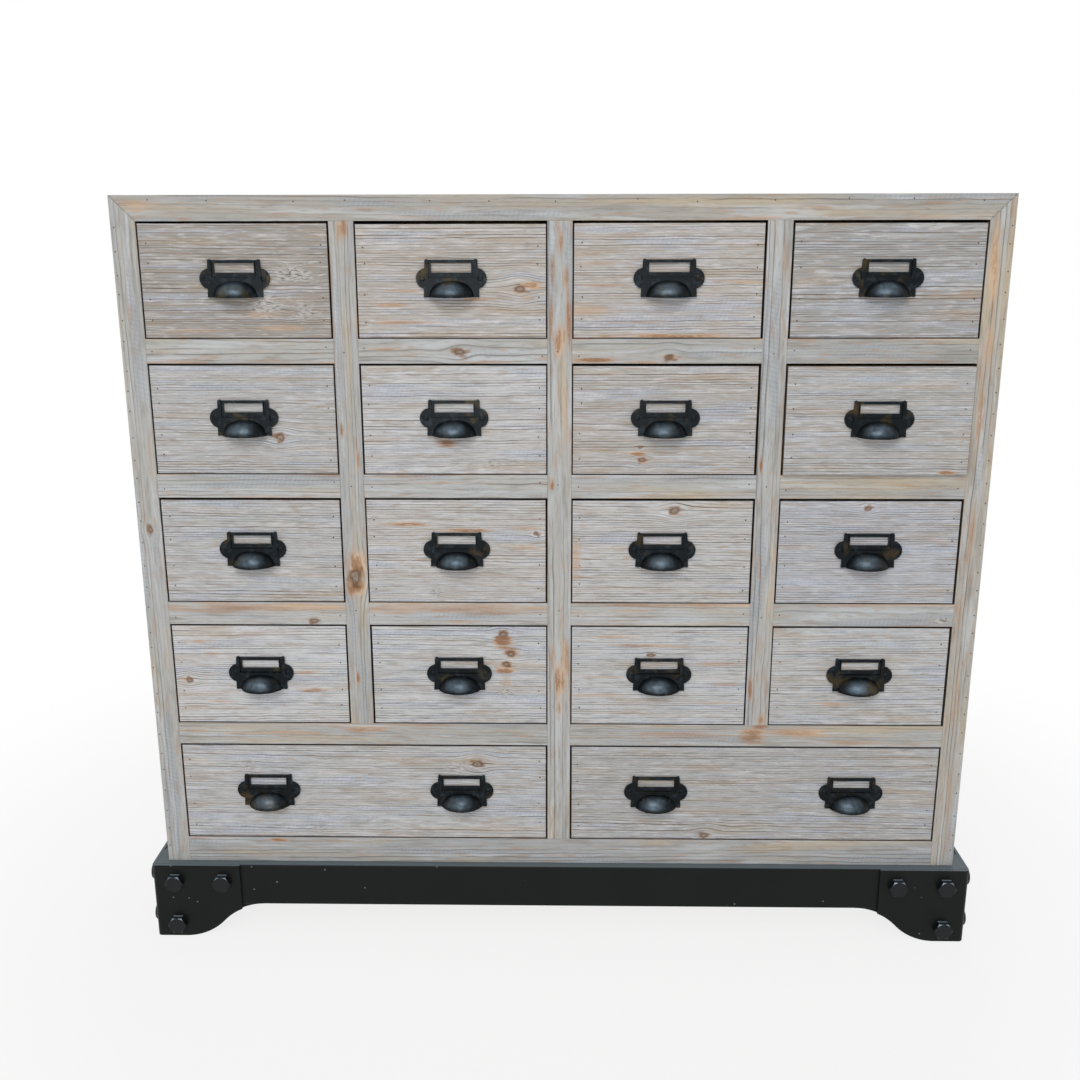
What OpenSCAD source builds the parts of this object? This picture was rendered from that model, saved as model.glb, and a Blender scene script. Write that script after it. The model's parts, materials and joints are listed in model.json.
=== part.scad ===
// Chest of small drawers in washed fir on a low bolted steel plinth.
// The origin is on the floor under the middle of the chest. X runs to the right,
// Y to the back and Z up, so the drawers open towards -Y.

/* [Face frame] */
// Width of the opening of one small drawer
opening_w = 230.5; // [190:0.5:280]
// Height of every drawer opening
opening_h = 138.4; // [120:0.2:170]
// Width of the upright stiles
stile_w = 30; // [28:1:40]
// Height of the cross rails
rail_h = 30; // [28:1:40]
// Height of the bottom rail
bottom_rail_h = 36; // [28:1:44]
// Thickness of stiles and rails, front to back
frame_t = 20; // [19:1:26]

/* [Carcass] */
// Depth of the wooden body, front to back
body_d = 372; // [320:2:460]
// Thickness of the top, side, bottom and shelf boards
panel_t = 16; // [12:1:20]
// Thickness of the upright partitions behind the stiles
partition_t = 16; // [12:1:20]
// Thickness of the plywood back
back_t = 5; // [3:1:8]
// How far the back is let into each side board
back_rabbet = 8; // [4:1:10]
// Gap between neighbouring boards of the top and the sides
board_gap = 0.6; // [0.4:0.1:1.5]
// How far a runner reaches under the drawer, past the edge of the stile
runner_ledge = 15; // [12:1:22]
// Height of the guide strip beside a drawer
guide_h = 18; // [10:1:30]

/* [Drawers] */
// Gap between a drawer front and the stile on each side
front_side_gap = 1.5; // [0.8:0.1:3]
// Gap between a drawer front and the rail under it
front_lower_gap = 1.2; // [0.6:0.1:2]
// Gap between a drawer front and the rail over it
front_upper_gap = 2.4; // [1:0.2:4]
// How far a closed drawer front sits behind the face frame
front_recess = 1; // [0.5:0.5:3]
// Thickness of a drawer front
front_t = 18; // [14:1:20]
// Width of the eased edge round a drawer front
front_ease = 1.2; // [0.6:0.2:2.4]
// Thickness of the drawer sides and back
side_t = 12; // [9:1:15]
// How far the drawer sides stay below the top of the opening
side_drop = 12; // [6:1:40]
// Gap of the glued and nailed joints between a drawer's boards
glue_gap = 0.1; // [0.05:0.05:0.3]
// Gap between a drawer side and its guide strip
box_side_gap = 1.9; // [1:0.1:3]
// Running gap between a drawer side and its runner
running_gap = 0.3; // [0.2:0.05:0.6]
// Gap between a closed drawer and the back
rear_gap = 1; // [0.5:0.5:20]
// Thickness of the plywood drawer bottom
bottom_t = 4; // [3:1:6]
// Height of the drawer bottom above the lower edge of the sides
bottom_rise = 9; // [6:1:14]
// Depth of the groove that holds the drawer bottom
groove_depth = 5; // [3:1:7]
// Play of the drawer bottom in its groove
groove_play = 0.2; // [0.1:0.1:0.4]
// How far the second drawer from the top at the right stands open
ajar = 7; // [0:1:40]

/* [Pulls] */
// Overall width of a pull, over its ears
pull_w = 85; // [80:0.5:92]
// Distance between the two screws of a pull
pull_screw_span = 70; // [68:0.5:72]
// Width of the pull's body at its lower edge
pull_foot_w = 67; // [64:1:70]
// Width of the pull's body across the card holder
pull_head_w = 63; // [61:1:66]
// Height of the pull's body
pull_h = 43.8; // [43:0.2:48]
// How far the pull's middle stands above the middle of the drawer front
pull_raise = 3; // [0:0.5:8]
// Radius of the two round ears
ear_r = 12.2; // [11:0.2:13.4]
// Height of the ears' centre and of the screws above the lower edge
ear_z = 22; // [19:0.5:23]
// Thickness of the ears
ear_t = 2.4; // [2:0.1:2.8]
// Thickness of the pull's plate
plate_t = 3.4; // [3:0.1:4.5]
// Width of the window in the card holder
window_w = 48.4; // [40:0.2:50]
// Height of the window in the card holder
window_h = 11.2; // [10:0.2:12]
// Height of the bar over the window
window_bar = 3.6; // [2.5:0.1:4.2]
// Height of the lip under the window
window_lip = 4; // [2:0.1:4.6]
// Width of the strip at each side of the window
window_strip = 0.8; // [0.6:0.1:1.2]
// Width of the card slot round the window
slot_w = 2.4; // [1.8:0.1:3]
// Depth of the card slot
slot_depth = 2.2; // [1.5:0.1:2.4]
// Radius of the cup, seen from above
cup_r = 29; // [26:0.5:30]
// How far the cup stands out from the drawer front
cup_out = 21.5; // [18:0.5:24]
// Height of the cup
cup_h = 19.4; // [16:0.2:20]
// Wall thickness of the cup
cup_wall = 1.8; // [1.4:0.1:2.4]
// Height of the rolled rim of the cup
rim_h = 1.8; // [1:0.1:2.5]
// How far the rolled rim stands out
rim_out = 0.6; // [0.3:0.1:1]
// Radius of the pull screws' shank
pull_screw_r = 1.75; // [1.5:0.05:2]
// Length of the pull screws in the wood
pull_screw_bite = 12; // [8:1:13]

/* [Plinth] */
// Height of the plinth, from the floor to the wood
plinth_h = 108; // [90:1:130]
// Height of the plinth rail
rail_web_h = 60; // [48:1:66]
// Width of the flange that the wood stands on
flange_w = 40; // [30:1:48]
// Thickness of the plinth rail's steel
rail_steel = 4; // [3:0.5:5]
// Outside radius of the fold along the rail's upper edge
rail_bend = 2.5; // [1:0.5:3]
// How far the plinth rail stands out past the wood at the front and the back
rail_proud = 10; // [5:0.5:14]
// How far the plinth rail stands out past the wood at the sides
side_proud = 15.5; // [5:0.5:18]
// Thickness of the corner plates
corner_steel = 4; // [3:0.5:6]
// Length of each leg of a corner plate
corner_leg = 120; // [110:1:140]
// Width of a foot where it meets the floor
foot_w = 40; // [34:1:50]
// Distance from the corner to the end of the foot's curve
curve_end = 150; // [141:1:170]
// Radius of the bend of a corner plate, outside
corner_bend = 6; // [2:0.5:8]
// Thickness of the sole plate of a foot
sole_t = 5; // [3:0.5:5.5]

/* [Plinth bolts] */
// Gap between the nuts that stand on either side of a corner
nut_gap = 4.8; // [0.4:0.2:6]
// Distance between the two upper bolts
bolt_span = 65; // [56:1:70]
// Distance of the upper bolts below the plinth's top edge
bolt_drop = 24.5; // [22:0.5:30]
// Height of the lowest bolt above the floor
bolt_low = 20; // [19:0.5:26]
// Radius of the bolt shank
bolt_r = 7; // [5:0.5:7.5]
// Width of the bolt head across its flats
bolt_flats = 22; // [18:0.5:24]
// Height of the bolt head
bolt_head = 8.8; // [6:0.2:9]
// Height of the nut
nut_h = 7; // [5:0.5:11]

/* [Hidden] */
$fn = 64;
columns = 4;
small_rows = 4;
rows = small_rows + 1;
boards = 3;
bolt_clearance = 0.2;
thread_clearance = 0.05;
bolt_tail = 2;
screw_clearance = 0.05;
head_chamfer = 1.6;
post_r = 2.1;
post_rise = 1;
slot_floor = plate_t - slot_depth;
through = 1;

wood = "#b7ada0";
inner_wood = "#cbb48f";
plywood = "#c6ad84";
cast_iron = "#2f3437";
steel = "#26292b";
bolt_steel = "#303438";

body_w = columns * opening_w + (columns + 1) * stile_w;
body_h = rows * (opening_h + rail_h) + bottom_rail_h;
front_y = -body_d / 2;
back_y = body_d / 2;
frame_back_y = front_y + frame_t;
back_panel_y = back_y - back_t;
top_z = plinth_h + body_h;
column_pitch = opening_w + stile_w;
row_pitch = opening_h + rail_h;
wide_w = 2 * opening_w + stile_w;
kicker_h = rail_h - panel_t;

drawer_y = front_y + front_recess;
drawer_back_y = back_panel_y - rear_gap;
box_y = drawer_y + front_t + glue_gap;
side_h = opening_h - running_gap - side_drop;
front_h = opening_h - front_lower_gap - front_upper_gap;
pull_lift = front_lower_gap + (front_h - pull_h) / 2 + pull_raise;

cup_axis = cup_r - cup_out;
cup_flat = cup_r - cup_h;
slot_inner_w = window_w + 2 * window_strip;
slot_outer_w = slot_inner_w + 2 * slot_w;
window_z = pull_h - window_bar - window_h;

rail_x = body_w / 2 + side_proud;
rail_y = body_d / 2 + rail_proud;
corner_x = rail_x + corner_steel;
corner_y = rail_y + corner_steel;
grip = corner_steel + rail_steel;
bolt_in = grip + nut_h + nut_gap + bolt_flats / 2;
arch_h = plinth_h - rail_web_h;
curve_run = curve_end - foot_w;
curve_r = (curve_run * curve_run + arch_h * arch_h) / (4 * arch_h);
bolt_places = [[bolt_in, plinth_h - bolt_drop], [bolt_in + bolt_span, plinth_h - bolt_drop], [bolt_in, bolt_low]];

// A bay is [name, row, centre x, opening width]; row 1 is the top row.
function column_x(c) = (c - (columns + 1) / 2) * column_pitch;
function row_z(r) = plinth_h + bottom_rail_h + (rows - r) * row_pitch;
small_bays = [for (r = [1 : small_rows], c = [1 : columns]) [str("r", r, "_c", c), r, column_x(c), opening_w]];
wide_bays = [["wide_left", rows, -column_pitch, wide_w], ["wide_right", rows, column_pitch, wide_w]];
bays = concat(small_bays, wide_bays);
function bay_name(bay) = bay[0];
function bay_row(bay) = bay[1];
function bay_x(bay) = bay[2];
function bay_w(bay) = bay[3];
function bay_open(bay) = bay_name(bay) == "r2_c4" ? ajar : 0;
function pull_offsets(bay) = bay_row(bay) == rows ? [-column_pitch / 2, column_pitch / 2] : [0];

// Gap between the edge of an opening and the upright board behind its stile
function wall_gap(edge) =
    abs(edge) > body_w / 2 - stile_w - 1 ? stile_w - panel_t : (stile_w - partition_t) / 2;

// A board from its low to its high corner
module board(low, high) {
    translate(low)
        cube(high - low);
}

// An outline drawn in X and Z, given a thickness from y0 to y1
module upright(y0, y1) {
    translate([0, y1, 0])
        rotate([90, 0, 0])
            linear_extrude(y1 - y0)
                children();
}

module base_rail_front() {
    color(steel)
        long_rail();
}

module base_rail_back() {
    color(steel)
        rotate(180)
            long_rail();
}

module base_rail_left() {
    color(steel)
        side_rail();
}

module base_rail_right() {
    color(steel)
        rotate(180)
            side_rail();
}

// The empty space beside a foot, drawn from the corner at x = 0 inwards.
// Two equal arcs make the foot's curve and meet halfway up.
module arch_outline() {
    middle = foot_w + curve_run / 2;
    difference() {
        translate([foot_w, -through])
            square([curve_run / 2, arch_h / 2 + through]);
        translate([foot_w, curve_r])
            circle(curve_r, $fn = 128);
    }
    intersection() {
        translate([middle, -through])
            square([curve_run / 2 + through, arch_h + through]);
        translate([curve_end, arch_h - curve_r])
            circle(curve_r, $fn = 128);
    }
}

// The section of a plinth rail: web at x = 0, flange at the top
module rail_section() {
    difference() {
        union() {
            square([flange_w, rail_web_h - rail_bend]);
            translate([rail_bend, 0])
                square([flange_w - rail_bend, rail_web_h]);
            translate([rail_bend, rail_web_h - rail_bend])
                circle(rail_bend);
        }
        translate([rail_steel, -through])
            square([flange_w, rail_web_h - rail_steel + through]);
    }
}

// A rail along X whose web stands at y, bored for the upper bolts of the feet at x = +-foot_x
module rail(half, y, foot_x) {
    difference() {
        translate([-half, y, arch_h])
            rotate([90, 0, 90])
                linear_extrude(2 * half)
                    rail_section();
        for (side = [-1, 1], i = [0, 1])
            translate([side * (foot_x - bolt_places[i][0]), y - through, bolt_places[i][1]])
                rotate([-90, 0, 0])
                    cylinder(r = bolt_r + bolt_clearance, h = rail_steel + 2 * through);
    }
}

// The front and the back rail run the full width of the plinth
module long_rail() {
    rail(rail_x, -rail_y, corner_x);
}

// The side rails stand between their webs and are coped under their flanges
module side_rail() {
    difference() {
        rotate(-90)
            rail(rail_y - rail_steel, -rail_x, corner_y);
        for (side = [0, 1])
            mirror([0, side, 0])
                board(
                    [-rail_x - through, -rail_y, plinth_h - rail_steel],
                    [-rail_x + flange_w + through, -rail_y + flange_w, plinth_h + through]
                );
    }
}

// The front left foot: a plate bent round the corner, backed below the rail by a web
// that carries it, and closed at the floor by a sole
module bracket_foot() {
    translate([-corner_x, -corner_y, 0])
        difference() {
            union() {
                linear_extrude(plinth_h)
                    difference() {
                        bent_corner();
                        translate([corner_steel, corner_steel])
                            square(corner_leg);
                    }
                translate([corner_steel, corner_steel, 0])
                    linear_extrude(arch_h)
                        difference() {
                            square(curve_end - corner_steel);
                            translate([rail_steel, rail_steel])
                                square(curve_end);
                        }
                board([corner_steel, corner_steel, 0], [foot_w, foot_w, sole_t]);
            }
            foot_cuts();
            mirror([1, -1, 0])
                foot_cuts();
        }
}

// The curve and the bolt holes of the leg along X
module foot_cuts() {
    upright(-through, grip + through)
        arch_outline();
    for (place = bolt_places)
        translate([place[0], -through, place[1]])
            rotate([-90, 0, 0])
                cylinder(r = bolt_r + bolt_clearance, h = grip + 2 * through);
}

// The plan of the bent plate before its inside is cut away
module bent_corner() {
    translate([corner_bend, corner_bend])
        circle(corner_bend);
    translate([corner_bend, 0])
        square([corner_leg - corner_bend, corner_leg]);
    translate([0, corner_bend])
        square([corner_leg, corner_leg - corner_bend]);
}

module corner_foot(left, front) {
    color(steel)
        mirror([left ? 0 : 1, 0, 0])
            mirror([0, front ? 0 : 1, 0])
                bracket_foot();
}

// A hexagon head bolt that enters along +Y at the origin, with its nut behind the steel
module bolt_and_nut() {
    color(bolt_steel) {
        rotate([90, 0, 0])
            hexagon_head();
        rotate([-90, 0, 0])
            cylinder(r = bolt_r, h = grip + nut_h + bolt_tail);
        translate([0, grip, 0])
            rotate([-90, 30, 0])
                difference() {
                    cylinder(r = bolt_flats / 2 / cos(30), h = nut_h, $fn = 6);
                    translate([0, 0, -through])
                        cylinder(r = bolt_r + thread_clearance, h = nut_h + 2 * through);
                }
    }
}

// The head's corners are turned off at its top
module hexagon_head() {
    corner_r = bolt_flats / 2 / cos(30);
    intersection() {
        cylinder(r = corner_r, h = bolt_head, $fn = 6);
        union() {
            cylinder(r = corner_r, h = bolt_head - head_chamfer);
            translate([0, 0, bolt_head - head_chamfer])
                cylinder(r1 = corner_r, r2 = bolt_flats / 2, h = head_chamfer);
        }
    }
}

module base_bolts() {
    for (x_side = [0, 1], y_side = [0, 1])
        mirror([x_side, 0, 0])
            mirror([0, y_side, 0])
                for (place = bolt_places) {
                    translate([-corner_x + place[0], -corner_y, place[1]])
                        bolt_and_nut();
                    translate([-corner_x, -corner_y + place[0], place[1]])
                        rotate(-90)
                            bolt_and_nut();
                }
}

// Upright boards, with the rearmost rabbeted for the back
module side_panel() {
    pitch = (back_y - frame_back_y + board_gap) / boards;
    color(wood)
        difference() {
            for (i = [0 : boards - 1])
                board(
                    [-body_w / 2, frame_back_y + i * pitch, plinth_h],
                    [-body_w / 2 + panel_t, frame_back_y + (i + 1) * pitch - board_gap, top_z - panel_t]
                );
            board(
                [-body_w / 2 + panel_t - back_rabbet, back_panel_y, plinth_h - through],
                [-body_w / 2 + panel_t + through, back_y + through, top_z]
            );
        }
}

module side_panel_left() {
    side_panel();
}

module side_panel_right() {
    mirror([1, 0, 0])
        side_panel();
}

module top_panel() {
    pitch = (back_y - frame_back_y + board_gap) / boards;
    color(wood)
        for (i = [0 : boards - 1])
            board(
                [-body_w / 2, frame_back_y + i * pitch, top_z - panel_t],
                [body_w / 2, frame_back_y + (i + 1) * pitch - board_gap, top_z]
            );
}

module bottom_panel() {
    color(inner_wood)
        board(
            [-body_w / 2 + panel_t, frame_back_y, plinth_h],
            [body_w / 2 - panel_t, back_panel_y, plinth_h + panel_t]
        );
}

module back_panel() {
    half = body_w / 2 - panel_t + back_rabbet;
    color(plywood)
        board([-half, back_panel_y, plinth_h], [half, back_y, top_z - panel_t]);
}

// The middle partition stands on the bottom board, the other two on the shelves
module partitions() {
    color(inner_wood)
        for (i = [-1 : 1])
            board(
                [i * column_pitch - partition_t / 2, frame_back_y, i == 0 ? plinth_h + panel_t : row_z(small_rows)],
                [i * column_pitch + partition_t / 2, back_panel_y, top_z - panel_t]
            );
}

module shelves() {
    color(inner_wood)
        for (side = [0, 1])
            mirror([side, 0, 0])
                board(
                    [partition_t / 2, frame_back_y, row_z(small_rows) - panel_t],
                    [body_w / 2 - panel_t, back_panel_y, row_z(small_rows)]
                );
}

// A strip along one side of a bay, reaching in past the stile and out to the upright board
module bay_strip(bay, side, reach_in, z0, z1) {
    edge = bay_x(bay) + side * bay_w(bay) / 2;
    inner = edge - side * reach_in;
    outer = edge + side * wall_gap(edge);
    board([min(inner, outer), frame_back_y, z0], [max(inner, outer), back_panel_y, z1]);
}

// Runners carry the drawers, and what is over a drawer keeps its tail down when it is open
module drawer_runners() {
    color(inner_wood)
        for (bay = bays, side = [-1, 1]) {
            z = row_z(bay_row(bay));
            if (bay_row(bay) < small_rows)
                bay_strip(bay, side, runner_ledge, z - rail_h, z);
            if (bay_row(bay) == rows)
                bay_strip(bay, side, runner_ledge, plinth_h + panel_t, z);
            if (bay_row(bay) == 1 || bay_row(bay) == rows)
                bay_strip(bay, side, runner_ledge, z + opening_h, z + opening_h + kicker_h);
        }
}

module drawer_guides() {
    color(inner_wood)
        for (bay = bays, side = [-1, 1]) {
            z = row_z(bay_row(bay));
            bay_strip(bay, side, 0, z, z + guide_h);
        }
}

// The outer stiles are mitred to the top rail
module stiles_outer() {
    color(wood)
        upright(front_y, frame_back_y)
            for (side = [0, 1])
                mirror([side, 0])
                    polygon([
                        [-body_w / 2, plinth_h],
                        [-body_w / 2 + stile_w, plinth_h],
                        [-body_w / 2 + stile_w, top_z - rail_h],
                        [-body_w / 2, top_z]
                    ]);
}

module stile_center() {
    color(wood)
        board([-stile_w / 2, front_y, plinth_h + bottom_rail_h], [stile_w / 2, frame_back_y, top_z - rail_h]);
}

module stiles_inner() {
    color(wood)
        for (side = [-1, 1])
            board(
                [side * column_pitch - stile_w / 2, front_y, row_z(small_rows)],
                [side * column_pitch + stile_w / 2, frame_back_y, top_z - rail_h]
            );
}

module rail_top() {
    color(wood)
        upright(front_y, frame_back_y)
            polygon([
                [-body_w / 2, top_z],
                [-body_w / 2 + stile_w, top_z - rail_h],
                [body_w / 2 - stile_w, top_z - rail_h],
                [body_w / 2, top_z]
            ]);
}

module rail_bottom() {
    half = body_w / 2 - stile_w;
    color(wood)
        board([-half, front_y, plinth_h], [half, frame_back_y, plinth_h + bottom_rail_h]);
}

// Short rails under the upper small drawers, and one long rail over each wide drawer
module rails_cross() {
    color(wood) {
        for (r = [1 : small_rows - 1], c = [1 : columns])
            board(
                [column_x(c) - opening_w / 2, front_y, row_z(r) - rail_h],
                [column_x(c) + opening_w / 2, frame_back_y, row_z(r)]
            );
        for (bay = wide_bays)
            board(
                [bay_x(bay) - wide_w / 2, front_y, row_z(small_rows) - rail_h],
                [bay_x(bay) + wide_w / 2, frame_back_y, row_z(small_rows)]
            );
    }
}

// A drawer: the front nailed over the ends of the sides, the bottom in grooves
// and the back standing on the bottom
module drawer(bay) {
    half = bay_w(bay) / 2 - box_side_gap;
    z0 = row_z(bay_row(bay)) + running_gap;
    translate([bay_x(bay), -bay_open(bay), 0]) {
        color(wood)
            drawer_front(bay);
        color(inner_wood)
            for (side = [0, 1])
                mirror([side, 0, 0])
                    drawer_side(half, z0);
        color(inner_wood)
            board(
                [-half + side_t + glue_gap, drawer_back_y - side_t, z0 + bottom_rise + bottom_t + glue_gap],
                [half - side_t - glue_gap, drawer_back_y, z0 + side_h]
            );
        color(plywood)
            drawer_bottom(half, z0);
    }
}

module drawer_side(half, z0) {
    difference() {
        board([-half, box_y, z0], [-half + side_t, drawer_back_y, z0 + side_h]);
        board(
            [-half + side_t - groove_depth, box_y - through, z0 + bottom_rise - groove_play / 2],
            [-half + side_t + through, drawer_back_y + through, z0 + bottom_rise + bottom_t + groove_play / 2]
        );
    }
}

module drawer_bottom(half, z0) {
    reach = half - side_t + groove_depth - groove_play;
    board(
        [-reach, drawer_y + front_t - groove_depth + groove_play, z0 + bottom_rise],
        [reach, drawer_back_y, z0 + bottom_rise + bottom_t]
    );
}

// The front board, eased round its face, grooved for the bottom and drilled for the pull screws
module drawer_front(bay) {
    half = bay_w(bay) / 2 - front_side_gap;
    z0 = row_z(bay_row(bay)) + front_lower_gap;
    groove_z = row_z(bay_row(bay)) + running_gap + bottom_rise - groove_play / 2;
    groove_half = bay_w(bay) / 2 - box_side_gap - side_t + groove_depth;
    difference() {
        intersection() {
            translate([0, 0, z0])
                linear_extrude(front_h)
                    eased_section(half);
            translate([-half, 0, z0 + front_h / 2])
                rotate([0, 90, 0])
                    linear_extrude(2 * half)
                        eased_section(front_h / 2);
        }
        board(
            [-groove_half, drawer_y + front_t - groove_depth, groove_z],
            [groove_half, drawer_y + front_t + through, groove_z + bottom_t + groove_play]
        );
        for (offset = pull_offsets(bay), side = [-1, 1])
            translate([offset + side * pull_screw_span / 2, drawer_y - through, pull_z(bay) + ear_z])
                rotate([-90, 0, 0])
                    cylinder(r = pull_screw_r + screw_clearance, h = pull_screw_bite + 2 * through);
    }
}

// A board's section with its two front edges eased, drawn across X with the face towards -Y
module eased_section(half) {
    polygon([
        [-half + front_ease, drawer_y],
        [half - front_ease, drawer_y],
        [half, drawer_y + front_ease],
        [half, drawer_y + front_t],
        [-half, drawer_y + front_t],
        [-half, drawer_y + front_ease]
    ]);
}

function pull_z(bay) = row_z(bay_row(bay)) + pull_lift;

module pull(bay) {
    for (offset = pull_offsets(bay))
        translate([bay_x(bay) + offset, drawer_y - bay_open(bay), pull_z(bay)]) {
            color(cast_iron)
                pull_casting();
            color(bolt_steel)
                for (side = [-1, 1])
                    translate([side * pull_screw_span / 2, 0, ear_z])
                        rotate([90, 0, 0])
                            pull_screw();
        }
}

// Plate, card holder and cup in one casting; the wood's face is at y = 0
module pull_casting() {
    difference() {
        union() {
            upright(-ear_t, 0)
                ears();
            upright(-plate_t, 0)
                plate_outline();
            intersection() {
                cup_outside();
                board([-2 * cup_r, -2 * cup_r, 0], [2 * cup_r, 0, 2 * cup_h]);
            }
        }
        cup_inside();
        upright(-plate_t - through, through)
            translate([-window_w / 2, window_z])
                square([window_w, window_h]);
        upright(-plate_t - through, -slot_floor)
            card_slot();
        for (side = [-1, 1])
            translate([side * pull_screw_span / 2, through, ear_z])
                rotate([90, 0, 0])
                    screw_hole();
    }
}

module ears() {
    for (side = [-1, 1])
        translate([side * (pull_w / 2 - ear_r), ear_z])
            circle(ear_r);
}

// The plate narrows a little upwards and ends in two rounded posts
module plate_outline() {
    polygon([
        [-pull_foot_w / 2, 0],
        [pull_foot_w / 2, 0],
        [pull_head_w / 2, pull_h],
        [-pull_head_w / 2, pull_h]
    ]);
    for (side = [-1, 1])
        translate([side * (pull_head_w / 2 - post_r), pull_h + post_rise - post_r])
            circle(post_r);
}

// The slot that takes the card's edges, open at the top
module card_slot() {
    difference() {
        translate([-slot_outer_w / 2, window_z - window_lip - slot_w])
            square([slot_outer_w, pull_h]);
        translate([-slot_inner_w / 2, window_z - window_lip])
            square([slot_inner_w, pull_h]);
    }
}

// The cup is part of a round dome whose axis stands behind the drawer's face
module cup_outside() {
    translate([0, cup_axis, 0])
        rotate_extrude($fn = 96) {
            dome_section(cup_h);
            square([cup_r + rim_out, rim_h]);
        }
}

module cup_inside() {
    translate([0, cup_axis, 0])
        rotate_extrude($fn = 96) {
            dome_section(cup_h - cup_wall);
            translate([0, -through])
                square([cup_r - cup_wall, through]);
        }
}

// Half the section of a dome with a flat crown and a round shoulder
module dome_section(height) {
    square([cup_flat, height]);
    intersection() {
        translate([cup_flat, 0])
            circle(height);
        square([cup_flat + height, height]);
    }
}

module screw_hole() {
    cylinder(r = pull_screw_r + screw_clearance, h = plate_t + 2 * through);
    translate([0, 0, through + ear_t - pull_screw_r])
        cylinder(r1 = pull_screw_r + screw_clearance, r2 = 2 * pull_screw_r + screw_clearance, h = pull_screw_r);
    translate([0, 0, through + ear_t])
        cylinder(r = 2 * pull_screw_r + screw_clearance, h = plate_t);
}

// A raised countersunk wood screw, its head towards +Z
module pull_screw() {
    translate([0, 0, -pull_screw_bite])
        cylinder(r = pull_screw_r, h = pull_screw_bite + ear_t - pull_screw_r);
    translate([0, 0, ear_t - pull_screw_r])
        cylinder(r1 = pull_screw_r, r2 = 2 * pull_screw_r, h = pull_screw_r);
    translate([0, 0, ear_t])
        cylinder(r1 = 2 * pull_screw_r, r2 = pull_screw_r, h = pull_screw_r / 3);
}

base_rail_front();
base_rail_back();
base_rail_left();
base_rail_right();
corner_foot(left = true, front = true);  // corner_foot_front_left
corner_foot(left = false, front = true);  // corner_foot_front_right
corner_foot(left = true, front = false);  // corner_foot_back_left
corner_foot(left = false, front = false);  // corner_foot_back_right
base_bolts();
side_panel_left();
side_panel_right();
top_panel();
bottom_panel();
back_panel();
partitions();
shelves();
drawer_runners();
drawer_guides();
stiles_outer();
stile_center();
stiles_inner();
rail_top();
rail_bottom();
rails_cross();
for (bay = bays) {
    drawer(bay);
    pull(bay);
}
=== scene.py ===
"""Looks for a chest of small washed fir drawers on a low bolted steel plinth.

Every size is in millimetres until a mesh takes its place, and in metres after that.
"""

import json
from math import ceil, cos, pi, radians, sin

import bmesh
import bpy
import numpy as np
from mathutils import Matrix, Vector

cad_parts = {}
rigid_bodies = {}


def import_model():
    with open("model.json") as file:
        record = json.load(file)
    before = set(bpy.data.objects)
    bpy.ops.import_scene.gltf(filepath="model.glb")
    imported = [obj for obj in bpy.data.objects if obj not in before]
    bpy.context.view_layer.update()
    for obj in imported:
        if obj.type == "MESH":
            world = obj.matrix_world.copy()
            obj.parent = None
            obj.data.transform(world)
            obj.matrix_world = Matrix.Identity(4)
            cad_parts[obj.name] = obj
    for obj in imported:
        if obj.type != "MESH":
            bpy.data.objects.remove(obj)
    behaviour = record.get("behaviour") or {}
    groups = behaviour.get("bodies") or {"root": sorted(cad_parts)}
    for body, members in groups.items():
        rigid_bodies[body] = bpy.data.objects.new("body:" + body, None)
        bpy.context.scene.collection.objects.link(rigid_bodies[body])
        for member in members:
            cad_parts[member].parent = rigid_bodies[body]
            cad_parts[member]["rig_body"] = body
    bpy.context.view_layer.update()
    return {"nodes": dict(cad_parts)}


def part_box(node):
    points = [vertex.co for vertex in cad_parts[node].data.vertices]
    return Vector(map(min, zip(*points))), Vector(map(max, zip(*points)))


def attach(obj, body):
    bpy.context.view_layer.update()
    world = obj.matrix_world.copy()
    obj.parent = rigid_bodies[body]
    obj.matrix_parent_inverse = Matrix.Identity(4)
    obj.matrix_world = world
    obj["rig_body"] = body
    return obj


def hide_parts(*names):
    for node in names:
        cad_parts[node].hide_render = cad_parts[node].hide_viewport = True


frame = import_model()
MM = 0.001


# The camera stands 1.4 m in front of the drawers at chest height, a hair to the left of the
# middle, and looks down by 15 degrees.
def link(name, data):
    """An object in the scene that shows this data."""
    made = bpy.data.objects.new(name, data)
    bpy.context.scene.collection.objects.link(made)
    return made


camera = link("camera", bpy.data.cameras.new("camera"))
bpy.context.scene.camera = camera
camera.data.sensor_width = 36
camera.data.lens = 38.91
camera_down, camera_turn, camera_tilt = radians(14.9), radians(0.968), radians(-0.106)
camera.matrix_world = (
    Matrix.Translation((-0.0003, -1.6166, 0.9459))
    @ Matrix.Rotation(camera_turn, 4, "Z")
    @ Matrix.Rotation(radians(90) - camera_down, 4, "X")
    @ Matrix.Rotation(camera_tilt, 4, "Z")
)


# Studio: soft boxes, a pale room and a pale matt floor. The room and the far floor show white
# to the eye and in reflections, while the light that they give stays plain.
bpy.context.scene.view_settings.view_transform = "Standard"


def linear(code):
    """A colour written as an sRGB hex code, as the linear numbers that shaders take."""
    parts = [int(code[i : i + 2], 16) / 255 for i in (1, 3, 5)]
    return [c / 12.92 if c <= 0.04045 else ((c + 0.055) / 1.055) ** 2.4 for c in parts] + [1]


def feed(node, links):
    """Gives each input a value, a hex code, an output, or another node's first output."""
    for key, value in links.items():
        if isinstance(value, str):
            value = linear(value)
        if isinstance(value, bpy.types.Node):
            value = value.outputs[0]
        if isinstance(value, bpy.types.NodeSocket):
            node.id_data.links.new(value, node.inputs[key])
        else:
            node.inputs[key].default_value = value


def add(tree, kind, links=None, **settings):
    """A shader node with its settings and links."""
    made = tree.nodes.new("ShaderNode" + kind)
    for key, value in settings.items():
        setattr(made, key, value)
    feed(made, links or {})
    return made


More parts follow.
